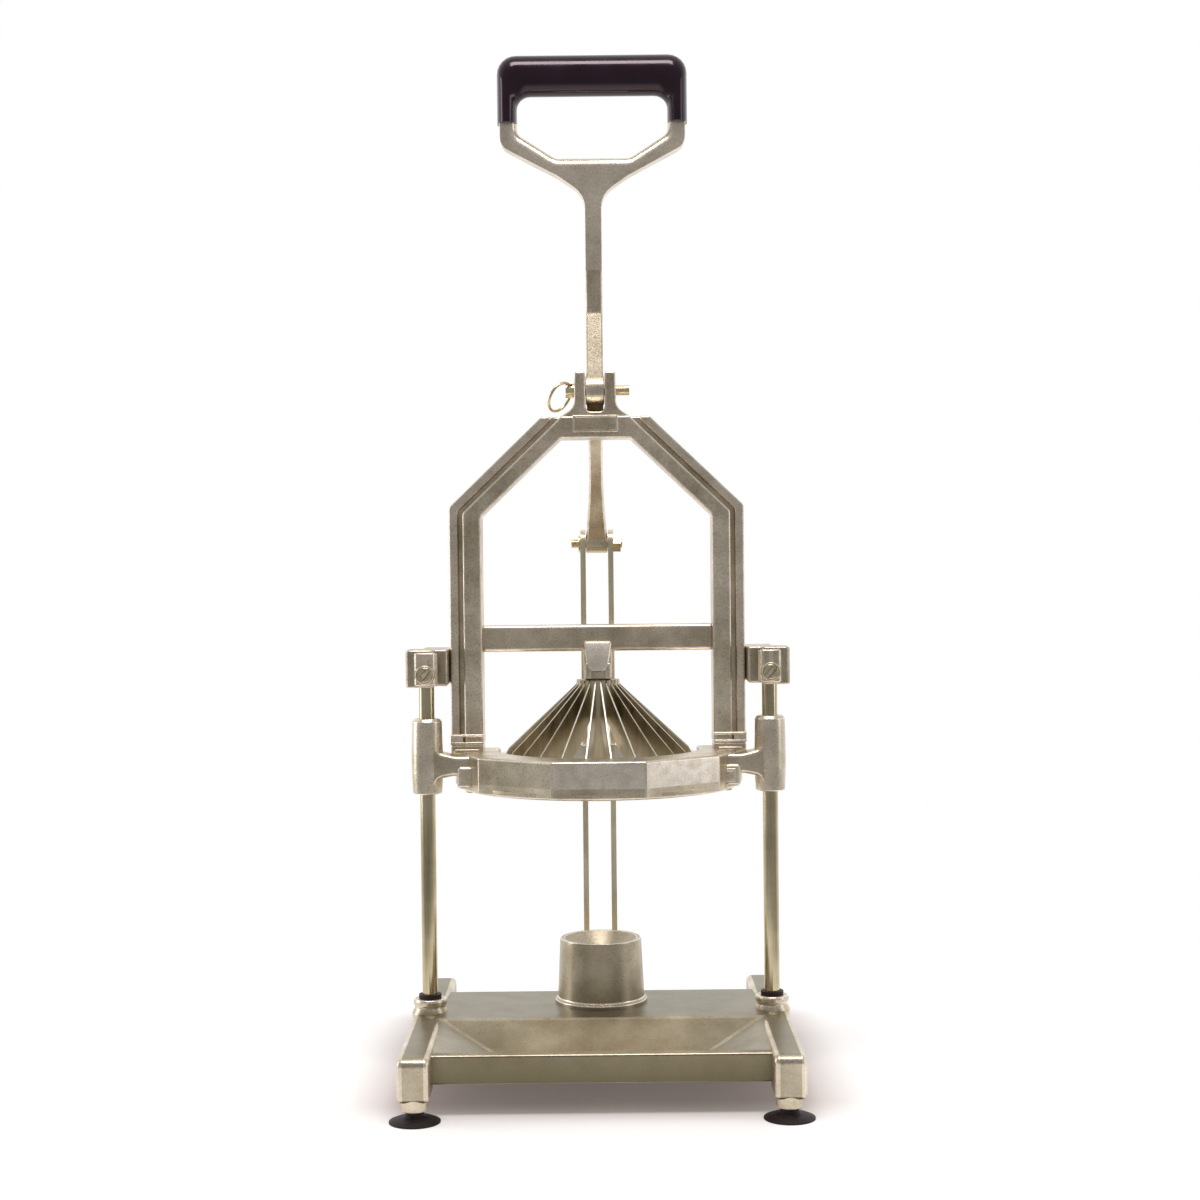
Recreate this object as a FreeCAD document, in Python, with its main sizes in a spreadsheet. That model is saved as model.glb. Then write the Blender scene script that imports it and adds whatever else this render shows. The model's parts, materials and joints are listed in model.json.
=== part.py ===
"""Blossom cutter press for bar and kitchen counters.

Millimetres, +Z up. The origin lies on the table, midway between the two guide rods,
so the rods stand in the plane Y = 0 and the press faces the user towards -Y.
"""
import FreeCAD, Part
import math
import os
import Sketcher

os.makedirs("parts", exist_ok=True)
doc = FreeCAD.newDocument("BlossomCutterPress")
Vector = FreeCAD.Vector

# Driving dimensions: name, value, meaning
DIMENSIONS = [
    ("rod_dia", 9.525, "guide rod, 3/8 inch"),
    ("rod_spread", 106.0, "rod axis from the middle"),
    ("rod_floor", 1.0, "metal below the rod's lower end"),
    ("running_gap", 0.05, "radial clearance of every turning or sliding fit"),
    ("side_gap", 0.3, "clearance beside moving faces"),
    ("overshoot", 1.0, "how far joined or cutting forms run past a face"),
    ("arm_width", 18.5, "base arm"),
    ("arm_offset", 9.0, "inner face of the arm inside the rod axis"),
    ("arm_front", 120.5, "front end of the arms ahead of the rods"),
    ("arm_rear", 102.6, "rear end of the arms behind the rods"),
    ("leg_under", 12.0, "underside of the legs above the table"),
    ("leg_height", 7.0, "how far the legs reach below the arms"),
    ("arm_height", 18.5, "base arm and deck, top to bottom"),
    ("leg_length", 26.0, "length of each leg along the arm"),
    ("leg_ramp", 7.0, "slope between leg and arm"),
    ("arm_end_round", 6.0, "rounding of the arms' ends"),
    ("deck_front", 23.0, "front edge of the deck ahead of the rods"),
    ("deck_rear", 56.0, "rear wall of the deck behind the rods"),
    ("deck_wall", 6.5, "thickness of the deck"),
    ("tray_set_back", 17.5, "tray's front wall behind the ends of the arms"),
    ("tray_wall", 4.5, "thickness of the front wall at its top"),
    ("tray_lip", 2.2, "how far the front wall stops below the arms"),
    ("tray_under_drop", 19.2, "underside of the tray below the arms' top"),
    ("tray_depth", 14.5, "tray floor below the arms' top"),
    ("tray_front_slope", 10.0, "front edge of the tray floor behind the wall's outer face"),
    ("tray_rear_slope", 34.0, "rear edge of the tray floor ahead of the deck"),
    ("tray_side_slope", 34.0, "side edges of the tray floor inside the arms"),
    ("boss_dia", 21.0, "rod boss of the base"),
    ("boss_height", 8.5, "rod boss above the deck"),
    ("boss_step", 4.0, "height of the groove round the rod boss"),
    ("boss_groove", 1.0, "depth of that groove"),
    ("bumper_wall", 2.2375, "rubber stop ring round the rod"),
    ("bumper_height", 2.5, "height of the stop ring"),
    ("foot_front_inset", 8.5, "front feet behind the ends of the arms"),
    ("foot_rear_inset", 12.6, "rear feet ahead of the ends of the arms"),
    ("foot_boss_dia", 16.0, "boss above each foot"),
    ("foot_boss_height", 5.5, "that boss below the leg"),
    ("foot_neck_dia", 10.6, "neck of the suction foot"),
    ("foot_cup_dia", 29.4, "cup of the suction foot"),
    ("cup_dome_dia", 17.0, "dome of the suction foot"),
    ("cup_dome_height", 2.7, "height of that dome"),
    ("neck_height", 3.6, "lower end of the neck"),
    ("cup_hollow", 1.0, "hollow under the suction cup"),
    ("cup_lip", 5.0, "width of the cup's sealing lip"),
    ("cup_edge", 0.9, "thickness of the cup's edge"),
    ("stud_dia", 6.0, "foot stud"),
    ("stud_reach", 6.0, "foot stud above the leg's underside"),
    ("stud_grip", 2.0, "foot stud inside the rubber neck"),
    ("axis_back", 25.0, "blade axis behind the rods"),
    ("pedestal_top_dia", 51.0, "pedestal at its top"),
    ("pedestal_flare", 3.0, "how much wider the pedestal is at its flange"),
    ("pedestal_flange_edge", 4.0, "how much wider the flange is than that"),
    ("pedestal_height", 40.5, "pedestal's rim above the deck"),
    ("pedestal_flange", 3.0, "height of the pedestal's flange"),
    ("pedestal_rim", 3.0, "width of the rim"),
    ("cup_depth", 9.0, "depth of the seat in the pedestal"),
    ("cup_floor_dia", 26.0, "floor of the seat"),
    ("core_well_dia", 15.0, "well that the core tube enters"),
    ("core_well_height", 10.5, "floor of that well above the deck"),
    ("pedestal_bolt_dia", 8.0, "bolt that holds the pedestal"),
    ("pedestal_bolt_across", 13.0, "its head across the flats"),
    ("pedestal_bolt_head", 5.3, "height of its head"),
    ("bolt_play", 1.0, "play of the pedestal bolt in the deck"),
    ("bolt_short", 2.0, "how far the pedestal bolt stops below the well"),
    ("lug_width", 14.5, "rear lug and rear barrel of the lever"),
    ("lug_wall", 5.0, "rear lug below its slot"),
    ("anchor_behind", 44.0, "link anchor behind the deck"),
    ("anchor_depth", 10.5, "link anchor below the arms' top"),
    ("anchor_pin_dia", 8.0, "link anchor pin"),
    ("anchor_drop", 6.5, "play below the anchor pin in its open slot"),
    ("clamp_rise", 19.6, "rod clamps above the guide bosses at rest"),
    ("clamp_height", 23.0, "rod clamp, top to bottom"),
    ("clamp_outside", 12.0, "outer face of the clamp outside the rod axis"),
    ("clamp_inside", 7.5, "inner face of the clamp block inside the rod axis"),
    ("clamp_front", 11.0, "front face of the clamp ahead of the rods"),
    ("clamp_back", 12.0, "rear face of the clamp behind the rods"),
    ("clamp_round", 3.0, "rounding of the clamp's upright edges"),
    ("clamp_nose_dia", 16.0, "boss round the clamp screw"),
    ("clamp_nose", 3.0, "how far that boss stands out"),
    ("clamp_screw_dia", 9.5, "slotted clamp screw"),
    ("clamp_screw_rise", 8.0, "clamp screw above the clamp's underside"),
    ("clamp_arm", 8.0, "how far the shoe arm starts inside the clamp"),
    ("clamp_recess", 2.0, "front face of the shoe arm behind the rods"),
    ("shoe_gap", 0.8, "clearance between the guide shoe and the frame"),
    ("shoe_wall", 5.0, "thickness of the guide shoe"),
    ("screw_slot", 1.5, "screwdriver slot, wide and deep"),
    ("guide_under", 173.0, "underside of the guide bosses at rest"),
    ("guide_dia", 19.3, "guide boss of the blade holder"),
    ("guide_length", 46.4, "guide boss, top to bottom"),
    ("guide_chamfer", 1.6, "chamfer on the guide boss"),
    ("bush_wall", 1.5375, "guide bush round the rod, with its clearance"),
    ("holder_rise", 1.6, "underside of the holder above that of the guide bosses"),
    ("holder_height", 23.1, "blade holder, top to bottom"),
    ("holder_apothem", 86.0, "blade axis to each outer facet of the holder"),
    ("holder_rear", 12.0, "rear ends of the holder behind the blade axis"),
    ("opening_dia", 127.0, "opening of the holder"),
    ("ledge_width", 6.0, "ledge that carries the blade ring"),
    ("ledge_height", 6.9, "top of that ledge above the holder's underside"),
    ("web_rise", 8.4, "underside of the side webs above the holder's"),
    ("web_height", 13.0, "side webs, top to bottom"),
    ("web_depth", 22.0, "side webs front to back"),
    ("web_root", 6.0, "how far the webs reach into the holder"),
    ("pad_height", 3.9, "pads below the frame above the holder"),
    ("ring_gap", 0.5, "blade ring inside the holder's opening"),
    ("ring_wall", 6.0, "blade ring, outside to bore"),
    ("ring_height", 13.0, "blade ring, top to bottom"),
    ("blade_count", 24.0, "blades"),
    ("blade_thickness", 0.9, "blade"),
    ("blade_bite", 3.0, "how deep the blades enter the ring"),
    ("blade_level", 1.0, "level part of the cutting edge inside the ring"),
    ("blade_lift", 0.7, "lowest point of a blade above the ledge"),
    ("blade_inset", 4.5, "outer end of a blade's top edge below the ring's top"),
    ("blade_seat_depth", 2.0, "how deep the blades enter the hub"),
    ("blade_knee", 5.1, "inner knee of the cutting edge outside the hub"),
    ("blade_knee_drop", 5.0, "that knee below the hub"),
    ("blade_waist", 16.5, "middle of the cutting edge outside the hub"),
    ("blade_waist_drop", 16.0, "that middle below the hub"),
    ("blade_toe", 15.5, "outer knee of the cutting edge inside the ring"),
    ("blade_toe_rise", 13.8, "that knee above the blade's lowest point"),
    ("hub_dia", 27.0, "blade hub"),
    ("hub_drop", 18.0, "top of the blade hub below the crossbar"),
    ("hub_height", 23.0, "blade hub, top to bottom"),
    ("hub_cap", 4.0, "solid top of the hub"),
    ("hub_shoulder", 1.0, "upper ends of the blades below the hub's top"),
    ("hanger_dia", 18.0, "post between hub and crossbar"),
    ("core_dia", 10.0, "core tube outside"),
    ("core_wall", 0.8, "core tube wall"),
    ("core_length", 47.0, "core tube"),
    ("hub_stud_dia", 5.0, "stud between hub and frame"),
    ("hub_stud_reach", 13.0, "how far that stud enters the frame"),
    ("frame_gap", 13.7, "outer edge of the frame inside the rod axis"),
    ("frame_width", 20.4, "upright of the frame, outer to inner edge"),
    ("frame_leg", 148.4, "upright of the frame, pad to outer corner"),
    ("inner_corner_drop", 6.0, "inner corner of the frame below the outer one"),
    ("roof_height", 56.0, "rise of the frame's roof"),
    ("roof_angle", 43.8, "slope of the roof from level"),
    ("shoulder_wall", 14.0, "shoulder of the frame above its opening"),
    ("flange_width", 8.8, "outer flange beside the rib"),
    ("lip_width", 5.8, "raised lip of that flange"),
    ("rib_front", 14.0, "rib ahead of the blade axis"),
    ("rib_back", 10.0, "rib behind the blade axis"),
    ("flange_front", 3.0, "flange ahead of the blade axis"),
    ("lip_front", 9.0, "lip ahead of the blade axis"),
    ("flange_back", 6.0, "flange behind the blade axis"),
    ("frame_foot_height", 4.6, "foot flange of the frame"),
    ("bar_rise", 57.4, "underside of the crossbar above the pads"),
    ("bar_height", 16.7, "crossbar, top to bottom"),
    ("bar_front", 4.0, "crossbar ahead of the blade axis"),
    ("bar_back", 8.0, "crossbar behind the blade axis"),
    ("bar_round", 2.5, "rounding of the crossbar"),
    ("tongue_front", 14.0, "tongue on the crossbar ahead of the blade axis"),
    ("tongue_overlap", 5.6, "tongue above the crossbar's underside"),
    ("tongue_drop", 12.6, "tongue below the crossbar"),
    ("tongue_width", 17.6, "tongue at its top"),
    ("tongue_side_width", 16.7, "tongue where its lower corners begin"),
    ("tongue_side_rise", 5.0, "height of those corners"),
    ("tongue_bend_width", 13.2, "tongue inside its corners"),
    ("tongue_bend_rise", 1.6, "height there"),
    ("tongue_tip_width", 6.2, "lower end of the tongue"),
    ("hub_window", 8.0, "window below the tongue"),
    ("frame_screw_dia", 5.0, "screws through the frame's feet"),
    ("frame_screw_inset", 13.3, "frame screws inside the frame's outer edge"),
    ("frame_screw_ahead", 9.0, "frame screws ahead of the blade axis"),
    ("frame_screw_reach", 6.0, "frame screws above the foot flange"),
    ("frame_screw_head", 3.0, "head of the frame screws"),
    ("frame_screw_head_dia", 8.5, "width of that head"),
    ("frame_notch", 10.0, "notch that shows the frame screw"),
    ("notch_floor", 1.0, "foot flange below the notch"),
    ("notch_lintel", 0.8, "foot flange above the notch"),
    ("ring_screw_angle", -56.5, "front screw of the blade ring about the blade axis"),
    ("ring_screw_dia", 3.5, "blade ring screws"),
    ("ring_screw_reach", 5.0, "how far they enter the ring"),
    ("ring_screw_head", 2.4, "head of the ring screws"),
    ("ring_screw_head_dia", 6.6, "width of that head"),
    ("ear_gap", 12.2, "slot between the pivot ears"),
    ("ear_wall", 6.7, "pivot ear, inner to outer face"),
    ("ear_height", 27.8, "top of the pivot ears above the shoulder"),
    ("ear_floor", 3.0, "bottom of the slot above the shoulder"),
    ("ear_rear_drop", 9.0, "how much lower the slot is behind the pivot"),
    ("ear_depth", 20.0, "pivot ears front to back"),
    ("ear_round", 8.5, "rounding of the ears' tops"),
    ("ear_sweep", 8.0, "sweep of the ears into the shoulder"),
    ("ear_bend", 2.8, "middle of that sweep beside the ear"),
    ("ear_bend_rise", 3.5, "height of that middle above the shoulder"),
    ("ear_sweep_rise", 11.2, "height of the sweep above the shoulder"),
    ("pivot_rise", 16.6, "lever pivot above the shoulder"),
    ("pivot_pin_dia", 6.35, "quick-release pivot pin, 1/4 inch"),
    ("pivot_pin_out", 8.7, "how far the pin stands out of the right ear"),
    ("pivot_head_dia", 9.0, "head of the pivot pin"),
    ("pivot_head_length", 5.6, "length of that head"),
    ("pull_ring_dia", 21.0, "pull ring"),
    ("pull_ring_wire", 1.8, "wire of the pull ring"),
    ("pull_ring_play", 0.8, "play of that wire in the pin's hole"),
    ("pull_ring_bow", 0.56, "bow of the wire inside the hole"),
    ("pull_ring_turn", 50.0, "turn of the pull ring about the pin"),
    ("pull_ring_lean", 45.0, "lean of the pull ring from the pin"),
    ("lever_barrel_dia", 18.0, "barrel of the lever on its pivot"),
    ("lever_width", 10.6, "shaft of the lever, side to side"),
    ("lever_depth", 15.0, "shaft of the lever, front to back"),
    ("dogleg_height", 50.0, "lower part of the shaft above the pivot"),
    ("dogleg_back", 20.0, "how far that part leans back"),
    ("shaft_length", 117.4, "shaft of the lever above the pivot"),
    ("loop_depth", 13.0, "hand loop front to back"),
    ("loop_neck", 18.0, "height of the flare between shaft and loop"),
    ("loop_neck_half", 17.5, "half width at the top of that flare"),
    ("loop_slope", 20.0, "height of the loop's lower slope"),
    ("loop_outer", 58.8, "half width of the loop"),
    ("loop_wall", 11.0, "side of the loop"),
    ("opening_rise", 12.0, "bottom of the hand opening above the flare"),
    ("opening_slope", 16.0, "height of the slopes beside that bottom"),
    ("opening_flat_half", 23.0, "half width of that bottom"),
    ("opening_side", 25.0, "height of the sides of the hand opening"),
    ("loop_round", 3.5, "rounding inside the hand opening"),
    ("grip_rise", 7.5, "lower ends of the grip above the slopes"),
    ("grip_height", 26.0, "grip above the hand opening"),
    ("grip_side", 1.6, "grip outside the loop"),
    ("grip_depth", 22.0, "grip front to back"),
    ("grip_wall", 2.4, "grip round the metal core"),
    ("grip_round", 8.0, "rounding of the grip's outer edges"),
    ("grip_corner", 9.0, "rounding of the grip's upper corners"),
    ("crank_back", 92.2, "link pivot of the lever behind its own pivot"),
    ("crank_drop", 95.6, "link pivot of the lever below its own pivot"),
    ("crank_barrel_dia", 12.6, "rear barrel of the lever"),
    ("crank_depth", 12.0, "depth of the rear arm"),
    ("link_thickness", 3.5, "link strap"),
    ("link_width", 19.0, "link strap"),
    ("link_pin_dia", 6.0, "upper link pin"),
    ("link_pin_out", 6.0, "how far that pin stands out of the links"),
    ("nut_across", 11.0, "hexagon nut across its flats"),
    ("nut_height", 5.0, "hexagon nut"),
    ("clip_rim", 3.0, "spring clip round a pin"),
    ("clip_thickness", 1.2, "spring clip"),
]

# Heights and widths that follow from the driving dimensions: name, formula
DERIVED = [
    ("arm_inner", "rod_spread - arm_offset"),
    ("arm_under", "leg_under + leg_height"),
    ("arm_top", "arm_under + arm_height"),
    ("rod_seat", "arm_under + rod_floor"),
    ("tray_front", "arm_front - tray_set_back"),
    ("tray_under", "arm_top - tray_under_drop"),
    ("tray_floor", "arm_top - tray_depth"),
    ("tray_floor_front", "tray_front - tray_front_slope"),
    ("tray_floor_rear", "deck_front + tray_rear_slope"),
    ("tray_floor_half", "arm_inner - tray_side_slope"),
    ("boss_top", "arm_top + boss_height"),
    ("bumper_dia", "rod_dia + 2 * bumper_wall"),
    ("foot_front", "arm_front - foot_front_inset"),
    ("foot_rear", "arm_rear - foot_rear_inset"),
    ("foot_boss_under", "leg_under - foot_boss_height"),
    ("stud_top", "leg_under + stud_reach"),
    ("stud_foot", "foot_boss_under - stud_grip"),
    ("pedestal_base_dia", "pedestal_top_dia + pedestal_flare"),
    ("pedestal_foot_dia", "pedestal_base_dia + pedestal_flange_edge"),
    ("pedestal_top", "arm_top + pedestal_height"),
    ("core_well_floor", "arm_top + core_well_height"),
    ("anchor_back", "deck_rear + anchor_behind"),
    ("anchor_height", "arm_top - anchor_depth"),
    ("guide_top", "guide_under + guide_length"),
    ("clamp_under", "guide_top + clamp_rise"),
    ("clamp_top", "clamp_under + clamp_height"),
    ("rod_top", "clamp_top"),
    ("clamp_outer", "rod_spread + clamp_outside"),
    ("clamp_inner", "rod_spread - clamp_inside"),
    ("clamp_screw_height", "clamp_under + clamp_screw_rise"),
    ("bush_dia", "rod_dia + 2 * running_gap + 2 * bush_wall"),
    ("holder_under", "guide_under + holder_rise"),
    ("holder_top", "holder_under + holder_height"),
    ("ledge_dia", "opening_dia - 2 * ledge_width"),
    ("ledge_top", "holder_under + ledge_height"),
    ("web_under", "holder_under + web_rise"),
    ("web_top", "web_under + web_height"),
    ("foot_pad_top", "holder_top + pad_height"),
    ("ring_dia", "opening_dia - 2 * ring_gap"),
    ("ring_bore", "ring_dia - 2 * ring_wall"),
    ("ring_top", "ledge_top + ring_height"),
    ("bar_under", "foot_pad_top + bar_rise"),
    ("bar_top", "bar_under + bar_height"),
    ("hub_top", "bar_under - hub_drop"),
    ("hub_under", "hub_top - hub_height"),
    ("core_under", "hub_top - hub_cap - core_length"),
    ("hub_stud_top", "hub_top + hub_stud_reach"),
    ("blade_outer_under", "ledge_top + blade_lift"),
    ("blade_outer_top", "ring_top - blade_inset"),
    ("frame_outer", "rod_spread - frame_gap"),
    ("frame_inner", "frame_outer - frame_width"),
    ("frame_corner", "foot_pad_top + frame_leg"),
    ("frame_inner_corner", "frame_corner - inner_corner_drop"),
    ("frame_shoulder", "frame_corner + roof_height"),
    ("frame_inner_top", "frame_shoulder - shoulder_wall"),
    ("frame_screw_spread", "frame_outer - frame_screw_inset"),
    ("tongue_under", "bar_under - tongue_drop"),
    ("ear_inner", "ear_gap / 2"),
    ("ear_outer", "ear_inner + ear_wall"),
    ("ear_top", "frame_shoulder + ear_height"),
    ("ear_slot_floor", "frame_shoulder + ear_floor"),
    ("ear_rear_floor", "ear_slot_floor - ear_rear_drop"),
    ("pivot_height", "frame_shoulder + pivot_rise"),
    ("loop_root", "pivot_height + shaft_length"),
    ("loop_flare", "loop_root + loop_neck"),
    ("loop_corner", "loop_flare + loop_slope"),
    ("opening_half", "loop_outer - loop_wall"),
    ("opening_under", "loop_flare + opening_rise"),
    ("opening_corner", "opening_under + opening_slope"),
    ("opening_top", "opening_corner + opening_side"),
    ("grip_start", "opening_corner + grip_rise"),
    ("grip_top", "opening_top + grip_height"),
    ("grip_outer", "loop_outer + grip_side"),
]

sheet = doc.addObject("Spreadsheet::Sheet", "Dims")
row = 0
for name, value, meaning in DIMENSIONS:
    row += 1
    sheet.set("A%d" % row, meaning)
    sheet.set("B%d" % row, str(value))
    sheet.setAlias("B%d" % row, name)
for name, formula in DERIVED:
    row += 1
    sheet.set("A%d" % row, name.replace("_", " "))
    sheet.set("B%d" % row, "=" + formula)
    sheet.setAlias("B%d" % row, name)
doc.recompute()
VALUES = {entry[0]: float(sheet.get(entry[0])) for entry in DIMENSIONS + DERIVED}


class Size:
    """A value together with the formula that binds it to the spreadsheet."""

    def __init__(self, value, text=None):
        self.value = float(value)
        self.text = text if text is not None else repr(float(value))

    def join(self, other, sign, value):
        return Size(value, "(%s %s %s)" % (self.text, sign, other.text))

    def __add__(self, other):
        other = size(other)
        return self.join(other, "+", self.value + other.value)

    def __sub__(self, other):
        other = size(other)
        return self.join(other, "-", self.value - other.value)

    def __mul__(self, other):
        other = size(other)
        return self.join(other, "*", self.value * other.value)

    def __truediv__(self, other):
        other = size(other)
        return self.join(other, "/", self.value / other.value)

    def __radd__(self, other):
        return size(other) + self

    def __rsub__(self, other):
        return size(other) - self

    def __rmul__(self, other):
        return size(other) * self

    def __rtruediv__(self, other):
        return size(other) / self

    def __neg__(self):
        return size(0) - self


def size(number):
    """Wraps a plain number, so that it can stand in a formula."""
    return number if isinstance(number, Size) else Size(number)


def trig(kind, degrees):
    """Sine, cosine or tangent of an angle in degrees."""
    degrees = size(degrees)
    value = getattr(math, kind)(math.radians(degrees.value))
    return Size(value, "%s(%s)" % (kind, degrees.text))


def root(number):
    """Square root of a size."""
    return Size(math.sqrt(number.value), "sqrt(%s)" % number.text)


class Dimensions:
    """Gives each driving dimension by its name."""

    def __getattr__(self, name):
        return Size(VALUES[name], "Dims." + name)


d = Dimensions()


def bind(obj, prop, value):
    """Sets a property to a formula of the driving dimensions."""
    obj.setExpression(prop, size(value).text)


def new_body(label):
    body = doc.addObject("PartDesign::Body", label)
    body.Label = label
    return body


def new_sketch(body, plane, offset):
    """A sketch on an origin plane, moved along the plane's own normal."""
    sketch = body.newObject("Sketcher::SketchObject", body.Name + "_sketch")
    for feature in body.Origin.OriginFeatures:
        if feature.Role == plane + "_Plane":
            sketch.AttachmentSupport = [(feature, "")]
    sketch.MapMode = "FlatFace"
    bind(sketch, "AttachmentOffset.Base.z", offset)
    return sketch


def pin_point(sketch, geometry, corner, point):
    """Ties a corner of a sketch to its formulas."""
    for kind, value in zip(("DistanceX", "DistanceY"), point):
        value = size(value)
        tie = sketch.addConstraint(
            Sketcher.Constraint(kind, -1, 1, geometry, corner, value.value))
        bind(sketch, "Constraints[%d]" % tie, value)


def draw_polygon(sketch, points):
    """A closed outline of straight edges, every corner tied to its formulas."""
    flat = [Vector(size(x).value, size(y).value, 0) for x, y in points]
    first = sketch.GeometryCount
    count = len(flat)
    for i in range(count):
        sketch.addGeometry(Part.LineSegment(flat[i], flat[(i + 1) % count]))
    for i in range(count):
        follower = first + (i + 1) % count
        sketch.addConstraint(Sketcher.Constraint("Coincident", first + i, 2, follower, 1))
    for i in range(count):
        pin_point(sketch, first + i, 1, points[i])


def draw_circle(sketch, centre, diameter):
    """A circle whose centre and diameter are tied to their formulas."""
    diameter = size(diameter)
    middle = Vector(size(centre[0]).value, size(centre[1]).value, 0)
    index = sketch.GeometryCount
    sketch.addGeometry(Part.Circle(middle, Vector(0, 0, 1), diameter.value / 2))
    pin_point(sketch, index, 3, centre)
    tie = sketch.addConstraint(Sketcher.Constraint("Diameter", index, diameter.value))
    bind(sketch, "Constraints[%d]" % tie, diameter)


def pad(body, plane, start, length, outlines=(), circles=(), cut=False):
    """A prism from `start` along the plane's normal: +Z for XY, -Y for XZ, +X for YZ."""
    sketch = new_sketch(body, plane, start)
    for points in outlines:
        draw_polygon(sketch, points)
    for centre, diameter in circles:
        draw_circle(sketch, centre, diameter)
    kind = "PartDesign::Pocket" if cut else "PartDesign::Pad"
    feature = body.newObject(kind, body.Name + ("_cut" if cut else "_pad"))
    feature.Profile = sketch
    bind(feature, "Length", length)
    if cut:
        feature.Reversed = True
    sketch.Visibility = False
    return feature


def box(body, x, y, z, cut=False):
    """A block between pairs of X, Y and Z."""
    outline = [(x[0], y[0]), (x[1], y[0]), (x[1], y[1]), (x[0], y[1])]
    return pad(body, "XY", z[0], size(z[1]) - z[0], [outline], cut=cut)


def post(body, x, y, diameter, z, cut=False):
    """An upright cylinder."""
    return pad(body, "XY", z[0], size(z[1]) - z[0], circles=[((x, y), diameter)], cut=cut)


def crosswise(body, y, z, diameter, x, cut=False):
    """A cylinder along X."""
    return pad(body, "YZ", x[0], size(x[1]) - x[0], circles=[((y, z), diameter)], cut=cut)


def lengthwise(body, x, z, diameter, y, cut=False):
    """A cylinder along Y, from y[0] back to y[1]."""
    return pad(body, "XZ", -size(y[1]), size(y[1]) - y[0], circles=[((x, z), diameter)], cut=cut)


def front_plate(body, points, y, cut=False):
    """A plate with its outline in X and Z, from y[0] back to y[1]."""
    return pad(body, "XZ", -size(y[1]), size(y[1]) - y[0], [points], cut=cut)


def side_plate(body, points, x, cut=False):
    """A plate with its outline in Y and Z, between two X."""
    return pad(body, "YZ", x[0], size(x[1]) - x[0], [points], cut=cut)


def turned(body, points, x, y, cut=False):
    """A turned form about an upright axis; its outline is in radius and Z."""
    sketch = new_sketch(body, "XZ", -size(y))
    shifted = [(size(x) + radius, z) for radius, z in points]
    draw_polygon(sketch, shifted)
    axis = sketch.addGeometry(Part.LineSegment(Vector(size(x).value, 0, 0), Vector(size(x).value, 1, 0)))
    sketch.toggleConstruction(axis)
    pin_point(sketch, axis, 1, (x, 0))
    pin_point(sketch, axis, 2, (x, 1))
    kind = "PartDesign::Groove" if cut else "PartDesign::Revolution"
    feature = body.newObject(kind, body.Name + "_turned")
    feature.Profile = sketch
    feature.ReferenceAxis = (sketch, ["Axis0"])
    feature.Angle = 360
    sketch.Visibility = False
    return feature


def round_edges(body, radius, wanted):
    """Rounds the edges that `wanted` picks by their middle and direction."""
    doc.recompute()
    base = body.Tip
    names = []
    for index, edge in enumerate(base.Shape.Edges, start=1):
        middle = edge.valueAt((edge.FirstParameter + edge.LastParameter) / 2)
        along = edge.tangentAt((edge.FirstParameter + edge.LastParameter) / 2)
        if wanted(middle, along):
            names.append("Edge%d" % index)
    feature = body.newObject("PartDesign::Fillet", body.Name + "_round")
    feature.Base = (base, names)
    bind(feature, "Radius", radius)
    return feature


def group(label, members):
    """Identical fasteners share one node."""
    compound = doc.addObject("Part::Compound", label)
    compound.Label = label
    compound.Links = members
    return compound


def hexagon(x, y, flats):
    """Corners of a hexagon; `flats` is its width across them."""
    radius = flats / 2 / trig("cos", 30)
    return [(x + radius * trig("cos", 60 * i), y + radius * trig("sin", 60 * i)) for i in range(6)]


def across(side, near, far):
    """A span of X between two distances from the middle, on the side's own half."""
    return (near, far) if side > 0 else (-far, -near)


def mirrored(points):
    """Adds the left half to the right half of an outline."""
    return points + [(-size(x), z) for x, z in reversed(points)]


SIDES = (("left", -1), ("right", 1))
# Reach, in mm, within which an edge counts as lying at a given place
NEAR = 1.0
EXACT = 0.01
# Points of the rear arm's curve, as shares of the crank's run and drop
ARM_UPPER = ((0.58, 0.34), (0.84, 0.66))
ARM_LOWER = ((0.68, 0.76), (0.42, 0.46))
# The arm's end at its barrel, as shares of half its depth
ARM_END = (0.7, 0.3)
nodes = []
axis_y = d.axis_back
rod_radius = d.rod_dia / 2


def upright(along):
    """Whether an edge stands upright."""
    return abs(along.z) > 1 - EXACT


def sideways(along):
    """Whether an edge runs along X."""
    return abs(along.x) > 1 - EXACT


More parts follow.
